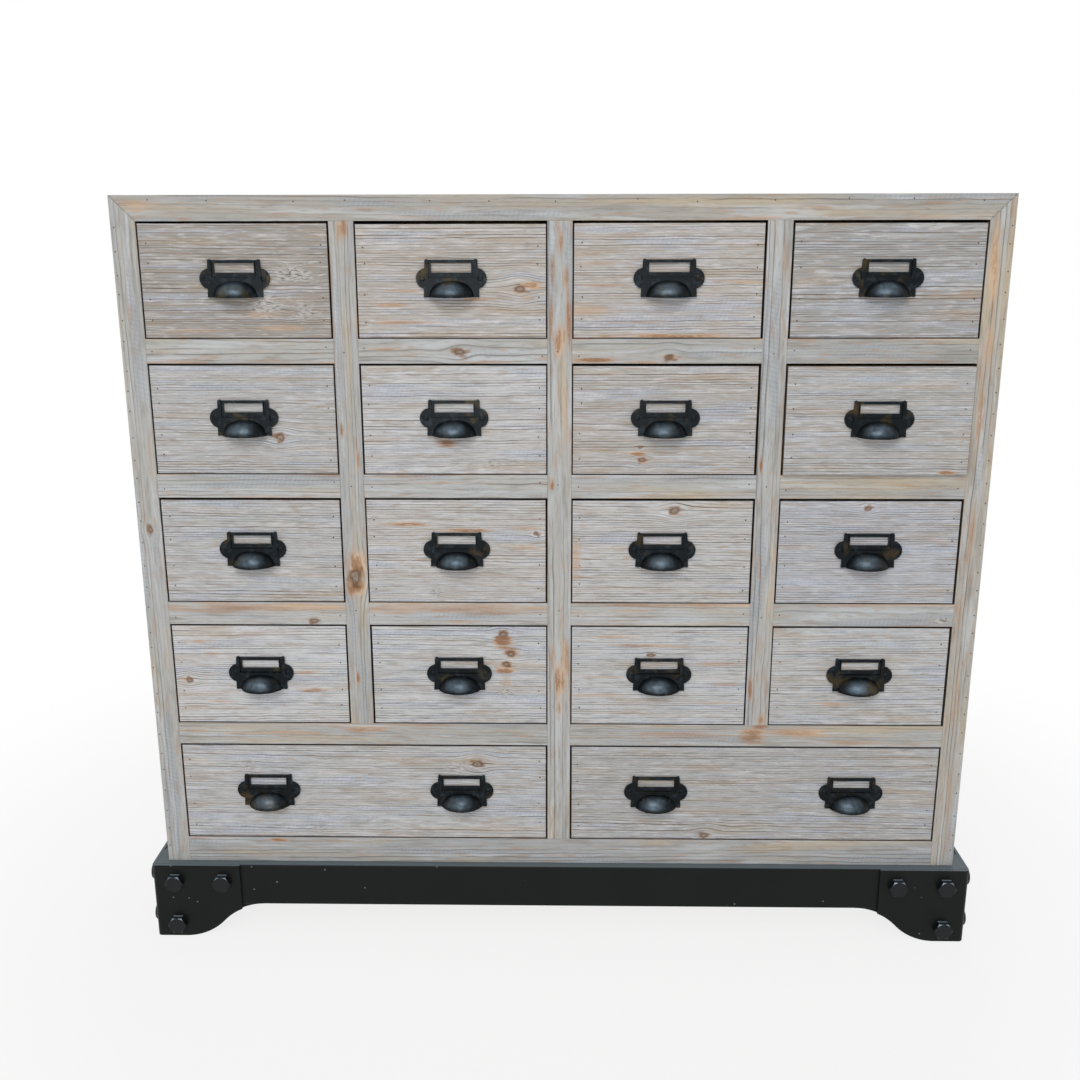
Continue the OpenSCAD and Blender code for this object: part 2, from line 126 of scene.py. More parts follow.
def shown_share(tree):
    """1 for what the eye sees straight, in a reflection or through glass, and 0 for light."""
    path = add(tree, "LightPath").outputs
    mirrored = add(
        tree, "Math", {0: path["Is Glossy Ray"], 1: path["Is Transmission Ray"]}, operation="MAXIMUM",
    )
    return add(tree, "Math", {0: path["Is Camera Ray"], 1: mirrored}, operation="MAXIMUM")


room_light = 0.36
room = bpy.data.worlds.new("studio room")
bpy.context.scene.world = room
room.use_nodes = True
tree = room.node_tree
tree.nodes.clear()
strength = add(tree, "MapRange", {"Value": shown_share(tree), "To Min": room_light})
glow = add(tree, "Background", {"Color": "#ffffff", "Strength": strength})
add(tree, "OutputWorld", {"Surface": glow})


def soft_box(name, place, target, width, height, watts):
    """A rectangular lamp that shines from its place to its target."""
    lamp = link(name, bpy.data.lights.new(name, "AREA"))
    lamp.data.shape = "RECTANGLE"
    lamp.data.size, lamp.data.size_y = width, height
    lamp.data.energy = watts
    aim = (Vector(target) - Vector(place)).to_track_quat("-Z", "Y").to_matrix().to_4x4()
    lamp.matrix_world = Matrix.Translation(place) @ aim


soft_box("key_light", (-0.4, -3.6, 3.2), (0, -0.1, 0.45), 3.2, 2.0, 76)
soft_box("window_light", (-0.5, -4.2, 0.55), (0, 0, 0.5), 2.0, 0.8, 20)
soft_box("back_light", (0.3, 2.6, 2.3), (0, 0, 0.5), 1.8, 1.2, 30)


def material(name, values):
    """A named material, its node tree and its main shader with these values."""
    made = bpy.data.materials.new(name)
    made.use_nodes = True
    shader = made.node_tree.nodes["Principled BSDF"]
    feed(shader, values)
    return made, made.node_tree, shader


def finished(name, bm, look):
    """An object from a bmesh, with its material."""
    mesh = bpy.data.meshes.new(name)
    bm.to_mesh(mesh)
    bm.free()
    mesh.materials.append(look)
    return link(name, mesh)


floor_look, tree, shader = material(
    "matt white studio floor", {"Base Color": "#e9e9e8", "Roughness": 0.9, "Specular IOR Level": 0.1},
)
place = add(tree, "TexCoord").outputs["Object"]
distance = add(tree, "VectorMath", {0: place}, operation="LENGTH").outputs["Value"]
fade = add(
    tree, "MapRange", {"Value": distance, "From Min": 0.6, "From Max": 1.3, "To Min": 0.82},
    interpolation_type="SMOOTHSTEP",
)
share = add(tree, "Math", {0: fade, 1: shown_share(tree)}, operation="MULTIPLY")
white = add(tree, "Emission", {"Color": "#ffffff"})
mixed = add(tree, "MixShader", {"Fac": share, 1: shader, 2: white})
feed(tree.nodes["Material Output"], {"Surface": mixed})
floor_radius = 30
bm = bmesh.new()
bmesh.ops.create_circle(bm, cap_ends=True, segments=96, radius=floor_radius)
floor = finished("floor", bm, floor_look)


# Plinth: folded steel angle rails and bent corner feet, hot rolled and sprayed with a satin
# black paint that thins to a paler line over the edges. Its upward faces are greyed blue, partly dust and
# partly a painted sheen of the sky.
def eased_copy(node, width, look):
    """A merged copy of a CAD node with its edges rounded, which then stands for the node. The
    middle of each rounded edge is marked as rubbed."""
    body = frame["nodes"][node]["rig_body"]
    bm = bmesh.new()
    bm.from_mesh(frame["nodes"][node].data)
    bmesh.ops.remove_doubles(bm, verts=bm.verts, dist=0.01 * MM)
    bmesh.ops.dissolve_limit(bm, angle_limit=radians(0.4), verts=bm.verts, edges=bm.edges)
    rubbed = bm.verts.layers.float.new("rubbed")
    sharp = radians(32)
    rounded = bmesh.ops.bevel(
        bm, geom=[edge for edge in bm.edges if edge.calc_face_angle(0) > sharp], offset=width * MM,
        affect="EDGES", segments=2, profile=0.5, clamp_overlap=True, material=-1,
    )
    new_faces = set(rounded["faces"])
    for vert in rounded["verts"]:
        if all(face in new_faces for face in vert.link_faces):
            vert[rubbed] = 1.0
    for face in bm.faces:
        face.smooth = True
    piece = finished(node + "_eased", bm, look)
    shading = piece.modifiers.new("even shading", "WEIGHTED_NORMAL")
    shading.keep_sharp = True
    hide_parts(node)
    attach(piece, body)
    return piece


black_paint, tree, shader = material(
    "satin black spray paint on hot rolled steel", {"Specular IOR Level": 0.16},
)
place = add(tree, "TexCoord").outputs["Object"]
cloud = add(tree, "TexNoise", {"Vector": place, "Scale": 14.0, "Detail": 4.0})
paint_tone = add(tree, "MixRGB", {"Fac": cloud, 1: "#0a0e0d", 2: "#141817"})
speck_spacing = 11.0
cells = add(tree, "TexVoronoi", {"Vector": place, "Scale": 1000 / speck_spacing})
near = add(
    tree, "MapRange", {"Value": cells, "From Min": 0.07, "From Max": 0.13, "To Min": 1.0, "To Max": 0.0},
)
chance = add(tree, "SeparateColor", {"Color": cells.outputs["Color"]})
chosen = add(tree, "Math", {0: chance, 1: 0.84}, operation="GREATER_THAN")
specks = add(tree, "Math", {0: near, 1: chosen}, operation="MULTIPLY")
spotted = add(tree, "MixRGB", {"Fac": specks, 1: paint_tone, 2: "#7c7f79"})
rubbed = add(tree, "Attribute", attribute_name="rubbed").outputs["Fac"]
edge_share = add(tree, "Math", {0: rubbed, 1: 0.55}, operation="MULTIPLY")
edged = add(tree, "MixRGB", {"Fac": edge_share, 1: spotted, 2: "#5c666b"})
facing = add(tree, "NewGeometry").outputs["Normal"]
upward = add(tree, "SeparateXYZ", {0: facing}).outputs["Z"]
# Dust and painted sheen: faces that look up turn blue grey, partly dust and partly a painted reflection of
# the sky.
dust_and_sheen_share = add(tree, "MapRange", {"Value": upward, "From Min": 0.6, "From Max": 0.95, "To Max": 0.85})
dusted_and_sheened = add(tree, "MixRGB", {"Fac": dust_and_sheen_share, 1: edged, 2: "#727d83"})
peel_size = 2.4
peel = add(tree, "TexNoise", {"Vector": place, "Scale": 1000 / peel_size, "Detail": 3.0})
bump = add(tree, "Bump", {"Height": peel, "Strength": 0.35, "Distance": 0.2 * MM})
gloss = add(tree, "MapRange", {"Value": cloud, "To Min": 0.32, "To Max": 0.52})
feed(shader, {"Base Color": dusted_and_sheened, "Normal": bump, "Roughness": gloss})

for side in ("front", "back", "left", "right"):
    eased_copy("base_rail_" + side, 0.5, black_paint)
for corner in ("front_left", "front_right", "back_left", "back_right"):
    eased_copy("corner_foot_" + corner, 0.6, black_paint)


# Plinth bolts: 24 forged hexagon bolts and nuts through feet and rails, painted with the steel.
# Their upward faces carry dust and a painted sky sheen, and painted highlights line their upward chamfers
# and the corner between head and plate.
bolt_paint, tree, shader = material(
    "satin black paint on forged bolts", {"Roughness": 0.36, "Specular IOR Level": 0.24},
)
place = add(tree, "TexCoord").outputs["Object"]
cloud = add(tree, "TexNoise", {"Vector": place, "Scale": 60.0, "Detail": 4.0})
paint_tone = add(tree, "MixRGB", {"Fac": cloud, 1: "#0b0f11", 2: "#161b1e"})
facing = add(tree, "NewGeometry").outputs["Normal"]
upward = add(tree, "SeparateXYZ", {0: facing}).outputs["Z"]
# Dust and painted sheen: faces that look up turn blue grey, partly dust and partly a painted reflection of
# the sky.
dust_and_sheen_share = add(tree, "MapRange", {"Value": upward, "From Min": 0.7, "From Max": 0.95, "To Max": 0.6})
dusted_and_sheened = add(tree, "MixRGB", {"Fac": dust_and_sheen_share, 1: paint_tone, 2: "#36424e"})
corner = add(tree, "Attribute", attribute_name="corner").outputs["Fac"]
# Painted highlight: a pale blue line where an upward face meets the plate, standing for the glint of the
# sky.
plate_corner_line = add(tree, "MapRange", {"Value": corner, "From Min": 0.6, "From Max": 0.85})
highlight_line_share = add(tree, "Math", {0: plate_corner_line, 1: dust_and_sheen_share}, operation="MULTIPLY")
lined = add(tree, "MixRGB", {"Fac": highlight_line_share, 1: dusted_and_sheened, 2: "#b4c5d2"})
bump = add(tree, "Bump", {"Height": cloud, "Strength": 0.3, "Distance": 0.3 * MM})
feed(shader, {"Base Color": lined, "Normal": bump})

# Painted highlight: pale grey steel for the small chamfers that look up and out, standing for the glint of
# the sky on them.
chamfer_highlight_steel, tree, shader = material("bolt chamfer painted pale as a highlight", {"Roughness": 0.35, "Metallic": 0.4})
place = add(tree, "TexCoord").outputs["Object"]
cloud = add(tree, "TexNoise", {"Vector": place, "Scale": 120.0, "Detail": 3.0})
highlight_tone = add(tree, "MixRGB", {"Fac": cloud, 1: "#3a444b", 2: "#93a2ad"})
feed(shader, {"Base Color": highlight_tone})

bolts = eased_copy("base_bolts", 0.25, bolt_paint)
bolts.data.materials.append(chamfer_highlight_steel)
plate_x, plate_y = [-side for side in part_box("corner_foot_front_left")[0][:2]]
corner_reach = 0.7 * MM
chamfer_area = 14 * MM * MM
corner = bolts.data.attributes.new("corner", "FLOAT", "POINT")
for vert in bolts.data.vertices:
    off_plate = min(abs(abs(vert.co.x) - plate_x), abs(abs(vert.co.y) - plate_y))
    corner.data[vert.index].value = 1.0 if off_plate < corner_reach else 0.0
# Painted highlight: small chamfers facing upward take the pale steel.
for face in bolts.data.polygons:
    if face.area < chamfer_area and 0.3 < face.normal.z < 0.8:
        face.material_index = 1


# Carcass inside: planed fir that was never washed, so it stays yellowish. It is nailed and
# glued, and its grain runs the long way of each board.
def plain_fir(along):
    """Unfinished planed fir with its grain along X, Y or Z."""
    made, tree, shader = material("planed fir, grain along " + along.lower(), {"Roughness": 0.7})
    place = add(tree, "TexCoord").outputs["Object"]
    lengthwise, crosswise = 6.0, 250.0
    scale = [lengthwise if axis == along else crosswise for axis in "XYZ"]
    grain = add(tree, "VectorMath", {0: place, 1: scale}, operation="MULTIPLY")
    rings = add(tree, "TexNoise", {"Vector": grain, "Scale": 0.6, "Detail": 3.0, "Distortion": 0.6})
    fibre = add(tree, "TexNoise", {"Vector": grain, "Scale": 4.0, "Detail": 2.0})
    tone = add(tree, "MixRGB", {"Fac": rings, 1: "#9c7a4c", 2: "#d2b184"})
    fleck = add(
        tree, "MapRange",
        {"Value": fibre, "From Min": 0.35, "From Max": 0.65, "To Min": 0.82, "To Max": 1.06},
    )
    shade = add(tree, "MixRGB", {"Fac": 1.0, 1: tone, 2: fleck}, blend_type="MULTIPLY")
    bump = add(tree, "Bump", {"Height": fibre, "Strength": 0.4, "Distance": 0.2 * MM})
    feed(shader, {"Base Color": shade, "Normal": bump})
    return made


fir_along_x, fir_along_y, fir_along_z = [plain_fir(axis) for axis in "XYZ"]
for node, look in (
    ("bottom_panel", fir_along_x),
    ("shelves", fir_along_x),
    ("partitions", fir_along_z),
    ("drawer_runners", fir_along_y),
    ("drawer_guides", fir_along_y),
):
    frame["nodes"][node].data.materials.clear()
    frame["nodes"][node].data.materials.append(look)


# Back: one sheet of thin plywood let into the sides, its face veneer peeled from the log, so
# the grain stands upright in broad flames.
plywood, tree, shader = material("rotary cut fir plywood", {"Roughness": 0.75})
place = add(tree, "TexCoord").outputs["Object"]
squeezed = add(tree, "VectorMath", {0: place, 1: (5.0, 5.0, 0.9)}, operation="MULTIPLY")
depth_in_log = add(tree, "TexNoise", {"Vector": squeezed, "Scale": 1.0, "Detail": 1.5, "Roughness": 0.4})
rings_cut = 34.0
ring = add(tree, "Math", {0: depth_in_log, 1: rings_cut}, operation="MULTIPLY")
across = add(tree, "Math", {0: ring}, operation="FRACT")
late = add(
    tree, "MapRange", {"Value": across, "From Min": 0.35, "From Max": 0.92},
    interpolation_type="SMOOTHSTEP",
)
tone = add(tree, "MixRGB", {"Fac": late, 1: "#ccb28c", 2: "#bb9a6e"})
drawn = add(tree, "VectorMath", {0: place, 1: (900.0, 900.0, 14.0)}, operation="MULTIPLY")
fibre = add(tree, "TexNoise", {"Vector": drawn, "Scale": 1.0, "Detail": 2.0})
fleck = add(tree, "MapRange", {"Value": fibre, "To Min": 0.86, "To Max": 1.1})
shade = add(tree, "MixRGB", {"Fac": 1.0, 1: tone, 2: fleck}, blend_type="MULTIPLY")
bump = add(tree, "Bump", {"Height": fibre, "Strength": 0.3, "Distance": 0.2 * MM})
feed(shader, {"Base Color": shade, "Normal": bump})
frame["nodes"]["back_panel"].data.materials.clear()
frame["nodes"]["back_panel"].data.materials.append(plywood)


# Washed boards: fir that was wire-brushed along the grain and washed with thin white paint.
# The brush takes out the soft spring wood, and the paint stays in these furrows while the
# hard late wood stands up as fine darker lines. Sanding lays the orange wood bare at edges.
def drift(u, v, seed):
    """A smooth random field from -1 to 1 over two coordinates, the same for the same seed."""
    lattice = np.random.default_rng(seed).uniform(-1, 1, (64, 64))
    column, row = np.floor(u).astype(int), np.floor(v).astype(int)
    a, b = u - column, v - row
    a, b = a * a * (3 - 2 * a), b * b * (3 - 2 * b)
    corners = [lattice[(column + i) % 64, (row + j) % 64] for i in (0, 1) for j in (0, 1)]
    lower = corners[0] * (1 - a) * (1 - b) + corners[1] * (1 - a) * b
    return lower + corners[2] * a * (1 - b) + corners[3] * a * b


def smooth(value, low, high):
    """0 below low, 1 above high and a smooth step between them."""
    t = np.clip((value - low) / (high - low), 0, 1)
    return t * t * (3 - 2 * t)


def points(mesh):
    """A mesh's vertices as an array, with a row for each."""
    co = np.empty(len(mesh.vertices) * 3)
    mesh.vertices.foreach_get("co", co)
    return co.reshape(-1, 3)


def axes(low, high, along, out):
    """Turns and moves a board's own axes (along, across, out of its face) to its box."""
    along, out = Vector(along), Vector(out)
    across = out.cross(along)
    turn = Matrix((along, across, out)).transposed()
    extent = [abs((Vector(high) - Vector(low)).dot(axis)) for axis in (along, across, out)]
    middle = (Vector(low) + Vector(high)) / 2
    own_middle = Vector((extent[0] / 2, extent[1] / 2, -extent[2] / 2))
    return extent, Matrix.Translation(middle) @ turn.to_4x4() @ Matrix.Translation(-own_middle)


def board(low, high, along, out, ease=1.0, cell=(4.0, 0.8), rabbet=None, groove=None, mitres=()):
    """A board from its low to its high corner: its face is a fine grid, its edges are rounded
    and its back is plain. Lengths are in mm, and its mesh stays in its own axes."""
    (length, width, thick), place = axes(low, high, along, out)
    bm = bmesh.new()
    counts = [max(1, ceil((side - 2 * ease) / step)) for side, step in zip((length, width), cell)]
    bmesh.ops.create_grid(bm, x_segments=counts[0], y_segments=counts[1], size=0.5)
    bmesh.ops.scale(bm, verts=bm.verts, vec=(length - 2 * ease, width - 2 * ease, 1))
    bmesh.ops.translate(bm, verts=bm.verts, vec=(length / 2, width / 2, 0))
    rings = [(ease * (1 - sin(radians(a))), ease * (1 - cos(radians(a))), 0) for a in (30, 60, 90)]
    if rabbet:
        rings += [(0, thick - rabbet[1], 0), (0, thick - rabbet[1], rabbet[0]), (0, thick, rabbet[0])]
    else:
        rings += [(0, thick, 0)]
    for inset, depth, cut in rings:
        edge = [e for e in bm.edges if e.is_boundary]
        grown = bmesh.ops.extrude_edge_only(bm, edges=edge)["geom"]
        for vert in [g for g in grown if isinstance(g, bmesh.types.BMVert)]:
            x, y, _ = vert.co
            if x < ease * 1.01 or x > length - ease * 1.01:
                x = inset if x < length / 2 else length - inset
            if y < ease * 1.01 or y > width - ease * 1.01 - cut:
                y = inset if y < width / 2 else width - inset - cut
            vert.co = (x, y, -depth)
    bmesh.ops.remove_doubles(bm, verts=bm.verts, dist=0.0005)
    back = bmesh.ops.edgeloop_fill(bm, edges=[e for e in bm.edges if e.is_boundary])["faces"]
    if groove:
        cut_groove(bm, back, thick, *groove)
    for point, normal in mitres:
        everything = bm.verts[:] + bm.edges[:] + bm.faces[:]
        bmesh.ops.bisect_plane(bm, geom=everything, plane_co=point, plane_no=normal, clear_outer=True)
        bmesh.ops.edgeloop_fill(bm, edges=[e for e in bm.edges if e.is_boundary])
    bmesh.ops.recalc_face_normals(bm, faces=bm.faces)
    for face in bm.faces:
        face.smooth = True
    mesh = bpy.data.meshes.new("board")
    bm.to_mesh(mesh)
    bm.free()
    return mesh, place, (length, width, thick)


def cut_groove(bm, back, thick, low, high, depth):
    """A groove in a board's back between two corners of its own axes."""
    for axis in (0, 1):
        for level in (low[axis], high[axis]):
            point, normal = [0, 0, 0], [0, 0, 0]
            point[axis], normal[axis] = level, 1
            geom = set(back)
            for face in back:
                geom.update(face.edges, face.verts)
            bmesh.ops.bisect_plane(bm, geom=list(geom), plane_co=point, plane_no=normal)
            back = [f for f in bm.faces if abs(f.calc_center_median().z + thick) < 0.01]
    inside = [
        f
        for f in back
        if all(low[a] - 0.01 < v.co[a] < high[a] + 0.01 for v in f.verts for a in (0, 1))
    ]
    bmesh.ops.inset_individual(bm, faces=inside, thickness=0, depth=-depth)


def weathered(
    made, ring_mm, relief, seed, knots=(), bare=(), torn=(), edge_wear=(0, 0), slope=0.0, thin=0.0,
    warm=0.0, grimy=(1, 1),
):
    """Brushes a board's face and marks it for the material: its year rings, where the wood is
    bare, its knots and torn grain, how thin and how warm the wash is on it, and how deep its edges lie, for
    painted gap shade.

    knots are (along, across, radius); bare and torn patches are (along, across, half length,
    half width, strength). All are in mm from the board's own corner, and so are the numbers that
    divide u, v and bent: the length and the width of a drift's waves. slope is how far the rings
    run off the grain. edge_wear rubs the lower and the upper edge bare. The last argument is 1 for
    a lower or upper edge whose sides are darkened with painted shade, as deep in a gap, and 0 for
    one that lies open."""
    mesh, place, (_, width, _) = made
    co = points(mesh)
    count = len(co)
    u, v, depth = co[:, 0], co[:, 1], -co[:, 2]
    bent = v + 0.35 * depth
    knot = np.zeros(count)
    for at, over, radius in knots:
        du, dv = u - at, bent - over
        pull = 0.75 * np.exp(-((du / (2.2 * radius)) ** 2) - (dv / (1.8 * radius)) ** 2)
        bent = bent - dv * pull
        rough = 1 + 0.35 * drift(u / (0.6 * radius) + 7, v / (0.6 * radius), seed + 5)
        rough += 0.25 * drift(u / (0.25 * radius) + 3, v / (0.25 * radius), seed + 8)
        knot = np.maximum(knot, 1 - np.hypot(0.85 * (u - at), 1.15 * (v - over)) * rough / radius)
    for at, over, half_length, half_width, strength in torn:
        near = np.exp(-(((u - at) / half_length) ** 2) - ((v - over) / half_width) ** 2)
        bent = bent + 3.0 * strength * near * drift(u / 8, v / 9, seed + 9)
    ring = (
        bent / ring_mm
        + slope * u / ring_mm
        + 1.5 * drift(bent / 38, u / 900 + 3, seed)
        + 0.4 * drift(bent / 13 + 9, u / 190, seed + 1)
        + 0.14 * drift(bent / 9 + 4, u / 24, seed + 7)
    )
    hard = (ring - np.floor(ring)) ** 1.8
    strong = 0.65 + 0.35 * drift(np.floor(ring) + 0.5, u / 60, seed + 2)
    face = 1 - smooth(depth, 0.3, 1.2)
    sunk = relief * (1 - hard * strong) * face
    sunk *= 1 - 0.6 * smooth(knot, 0, 0.4)
    worn = np.zeros(count)
    ragged = 0.5 * drift(u / 34, v / 3.1, seed + 3) + 0.2 * drift(u / 9, v / 1.6, seed + 4)
    for at, over, half_length, half_width, strength in bare:
        reach = np.sqrt(((u - at) / half_length) ** 2 + ((v - over) / half_width) ** 2)
        worn = np.maximum(worn, strength * smooth(1 - reach + 0.6 * ragged, -0.15, 0.75))
    for side, (amount, gap) in enumerate(zip(edge_wear, (v, width - v))):
        band = 0.4 + 4.4 * drift(u / 58 + 5, np.full(count, 0.5 + 7 * side), seed + 6)
        worn = np.maximum(worn, amount * smooth(band - gap + 1.2 * ragged, 0, 3.0))
    rent = np.zeros(count)
    for at, over, half_length, half_width, strength in torn:
        reach = np.sqrt(((u - at) / half_length) ** 2 + ((v - over) / half_width) ** 2)
        rent = np.maximum(rent, strength * smooth(1 - reach + 0.7 * ragged, -0.1, 0.7))
    co[:, 2] -= sunk
    mesh.vertices.foreach_set("co", co.reshape(-1))
    growth = np.column_stack([u * MM, ring, np.full(count, float(seed % 97))])
    finish = np.column_stack([np.clip(worn, 0, 1), np.clip(knot, 0, 1), rent])
    # Painted shade: how deep a point lies behind the face on the gap sides of an edge, to darken it as the
    # shade of a gap.
    grime = depth * MM * np.where(v < width / 2, *grimy)
    wash = np.column_stack([np.full(count, thin), np.full(count, warm), grime])
    for key, values in (("growth", growth), ("finish", finish), ("wash", wash)):
        layer = mesh.attributes.new(key, "FLOAT_VECTOR", "POINT")
        layer.data.foreach_set("vector", values.reshape(-1).astype(np.float32))
    mesh.transform(Matrix.Scale(MM, 4) @ place)
    return mesh


# Patterns drawn out along the grain: their length and width in mm, and their detail.
grain_patterns = {
    "fibre": (15, 0.9, 3.0), "blotch": (32, 4.0, 4.0), "cloud": (130, 11, 3.0), "streak": (70, 4.5, 3.0),
    "breaks": (20, 2.6, 2.0), "runs": (60, 3.0, 3.0), "flecks": (7, 1.4, 2.0),
}


def washed_fir(name, ring_mm, paint, coats, line_share, line_width, broader=1.0):
    """Brushed and washed fir that reads the marks of each board. Over the paint lie the coats:
    the pattern that each follows, from where to where on it the coat comes up, how much it
    covers at most, and its colour. line_share is how much late wood darkens at most, and
    line_width its share of a ring. broader widens the patterns."""
    made, tree, shader = material(name, {"Roughness": 0.8, "Specular IOR Level": 0.3})
    growth = add(tree, "Attribute", attribute_name="growth").outputs["Vector"]
    finish = add(tree, "Attribute", attribute_name="finish").outputs["Vector"]
    wash = add(tree, "Attribute", attribute_name="wash").outputs["Vector"]
    _, ring, plank = add(tree, "SeparateXYZ", {0: growth}).outputs
    bare, knot, torn = add(tree, "SeparateXYZ", {0: finish}).outputs
    thin, warm, grime = add(tree, "SeparateXYZ", {0: wash}).outputs
    found = {"thin": thin, "warm": warm, "grime": grime}
    for number, (key, (long_mm, wide_mm, detail)) in enumerate(grain_patterns.items()):
        if key not in ("fibre", "flecks"):
            long_mm, wide_mm = long_mm * broader, wide_mm * broader
        stretch = (1000 / long_mm, ring_mm / wide_mm, 3.7 + number)
        drawn = add(tree, "VectorMath", {0: growth, 1: stretch}, operation="MULTIPLY")
        found[key] = add(tree, "TexNoise", {"Vector": drawn, "Scale": 1.0, "Detail": detail})

    # Late wood: a line that darkens across each year ring and ends where the next begins.
    across = add(tree, "Math", {0: ring}, operation="FRACT")
    late = add(
        tree, "MapRange", {"Value": across, "From Min": 1 - line_width, "From Max": 0.96},
        interpolation_type="SMOOTHSTEP",
    )
    year = add(tree, "Math", {0: ring}, operation="FLOOR")
    year = add(tree, "Math", {0: plank, 1: 31.0, 2: year}, operation="MULTIPLY_ADD")
    luck = add(tree, "TexWhiteNoise", {"W": year}, noise_dimensions="1D")
    strength = add(tree, "MapRange", {"Value": luck, "To Min": 0.25, "To Max": 1.05})
    whole = add(tree, "MapRange", {"Value": found["runs"], "From Min": 0.3, "From Max": 0.5})
    late_strong = add(tree, "Math", {0: late, 1: strength}, operation="MULTIPLY")
    found["line"] = add(tree, "Math", {0: late_strong, 1: whole}, operation="MULTIPLY")
    few = add(tree, "MapRange", {"Value": luck, "From Min": 0.84, "From Max": 0.88})
    found["orange line"] = add(tree, "Math", {0: late, 1: few}, operation="MULTIPLY")

    # Bare wood keeps paint in its pores. Torn grain stands up in pale flakes, aslant. A knot's
    # rings are ragged.
    pores = add(
        tree, "MapRange", {"Value": found["flecks"], "From Min": 0.35, "From Max": 0.5, "To Min": 0.78},
    )
    kept = add(
        tree, "MapRange", {"Value": found["blotch"], "From Min": 0.35, "From Max": 0.55, "To Min": 0.78},
    )
    open_wood = add(tree, "Math", {0: pores, 1: kept}, operation="MULTIPLY")
    found["bare"] = add(tree, "Math", {0: bare, 1: open_wood}, operation="MULTIPLY")
    found["rubbed"] = add(tree, "Math", {0: bare, 1: pores}, operation="MULTIPLY")
    ripeness = add(tree, "MapRange", {"Value": found["cloud"], "From Min": 0.35, "From Max": 0.65})
    wood = add(tree, "MixRGB", {"Fac": ripeness, 1: "#a98467", 2: "#e2be9d"})
    in_mm = add(tree, "VectorMath", {0: growth, 1: (1000, ring_mm, 1)}, operation="MULTIPLY")
    aslant = add(tree, "Mapping", {"Vector": in_mm, "Rotation": (0, 0, 0.7), "Scale": (1 / 7, 1 / 1.6, 1)})
    strokes = add(tree, "TexNoise", {"Vector": aslant, "Scale": 1.0, "Detail": 2.0})
    flakes = add(tree, "MapRange", {"Value": strokes, "From Min": 0.36, "From Max": 0.54})
    flaked = add(tree, "MixRGB", {"Fac": flakes, 1: "#79726c", 2: "#cbc8c4"})
    found["torn"] = add(tree, "Math", {0: torn, 1: kept}, operation="MULTIPLY")
    uneven = add(tree, "MapRange", {"Value": found["flecks"], "To Min": 0.6, "To Max": 1.4})
    found["knot"] = add(tree, "Math", {0: knot, 1: uneven}, operation="MULTIPLY")

    # The band saw left faint marks across the grain, aslant, wherever the planer missed them. The
    # texture's waves are 2 pi / 20 long, and each stands for one tooth.
    tooth_mm = 5.5
    sawn = add(
        tree, "Mapping",
        {"Vector": in_mm, "Rotation": (0, 0, 0.35), "Scale": (1 / tooth_mm, 1 / tooth_mm, 1)},
    )
    one_wave = 2 * pi / 20
    cuts = add(tree, "TexWave", {"Vector": sawn, "Scale": one_wave, "Distortion": 1.0, "Detail": 1.0})
    missed = add(tree, "MapRange", {"Value": found["cloud"], "From Min": 0.45, "From Max": 0.36})
    found["sawn"] = add(tree, "Math", {0: cuts.outputs["Fac"], 1: missed}, operation="MULTIPLY")

    # The wash and the painted shade of the gaps end a few millimetres behind the face, on raw fir.
    raw = add(tree, "MixRGB", {"Fac": found["blotch"], 1: "#9c7a4c", 2: "#d2b184"})
    colour = add(tree, "MixRGB", {"Fac": found["cloud"], 1: paint[0], 2: paint[1]})
    for key, low, high, most, tint in coats + [
        ("line", 0.0, 1.0, line_share, "#6d6860"),
        ("line", 0.55, 1.0, 0.7 * line_share, "#37332e"),
        ("fibre", 0.54, 0.7, 0.4, "#837f79"),
        ("bare", 0.0, 0.9, 0.85, wood),
        ("rubbed", 0.6, 1.0, 0.7, "#8f6647"),
        ("torn", 0.0, 0.8, 0.85, flaked),
        ("knot", 0.0, 0.35, 0.75, "#8f6848"),
        ("knot", 0.34, 0.55, 0.65, "#54402f"),
        ("knot", 0.52, 0.72, 0.75, "#a3968b"),
        ("knot", 0.85, 1.0, 0.6, "#5f4636"),
        # Painted shade: the sides of an edge darken from 0.4 to 1.8 mm behind the face, standing for the
        # shade of a gap.
        ("grime", 0.4 * MM, 1.8 * MM, 0.88, "#2e2721"),
        ("grime", 5.0 * MM, 9.0 * MM, 1.0, raw),
    ]:
        share = add(
            tree, "MapRange", {"Value": found[key], "From Min": low, "From Max": high, "To Max": most},
            interpolation_type="SMOOTHSTEP",
        )
        colour = add(tree, "MixRGB", {"Fac": share, 1: colour, 2: tint})
    torn_height = add(tree, "Math", {0: flakes, 1: torn}, operation="MULTIPLY")
    ridges = add(tree, "Math", {0: late, 1: 0.6, 2: torn_height}, operation="MULTIPLY_ADD")
    height = add(tree, "Math", {0: found["fibre"], 1: 0.5, 2: ridges}, operation="MULTIPLY_ADD")
    bump = add(tree, "Bump", {"Height": height, "Strength": 0.6, "Distance": 0.35 * MM})
    feed(shader, {"Base Color": colour, "Normal": bump})
    return made


def join(name, meshes, look, node, body="root"):
    """One piece out of one or several boards, which stands for a CAD node."""
    bm = bmesh.new()
    for mesh in meshes:
        bm.from_mesh(mesh)
        bpy.data.meshes.remove(mesh)
    piece = finished(name, bm, look)
    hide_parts(node)
    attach(piece, body)


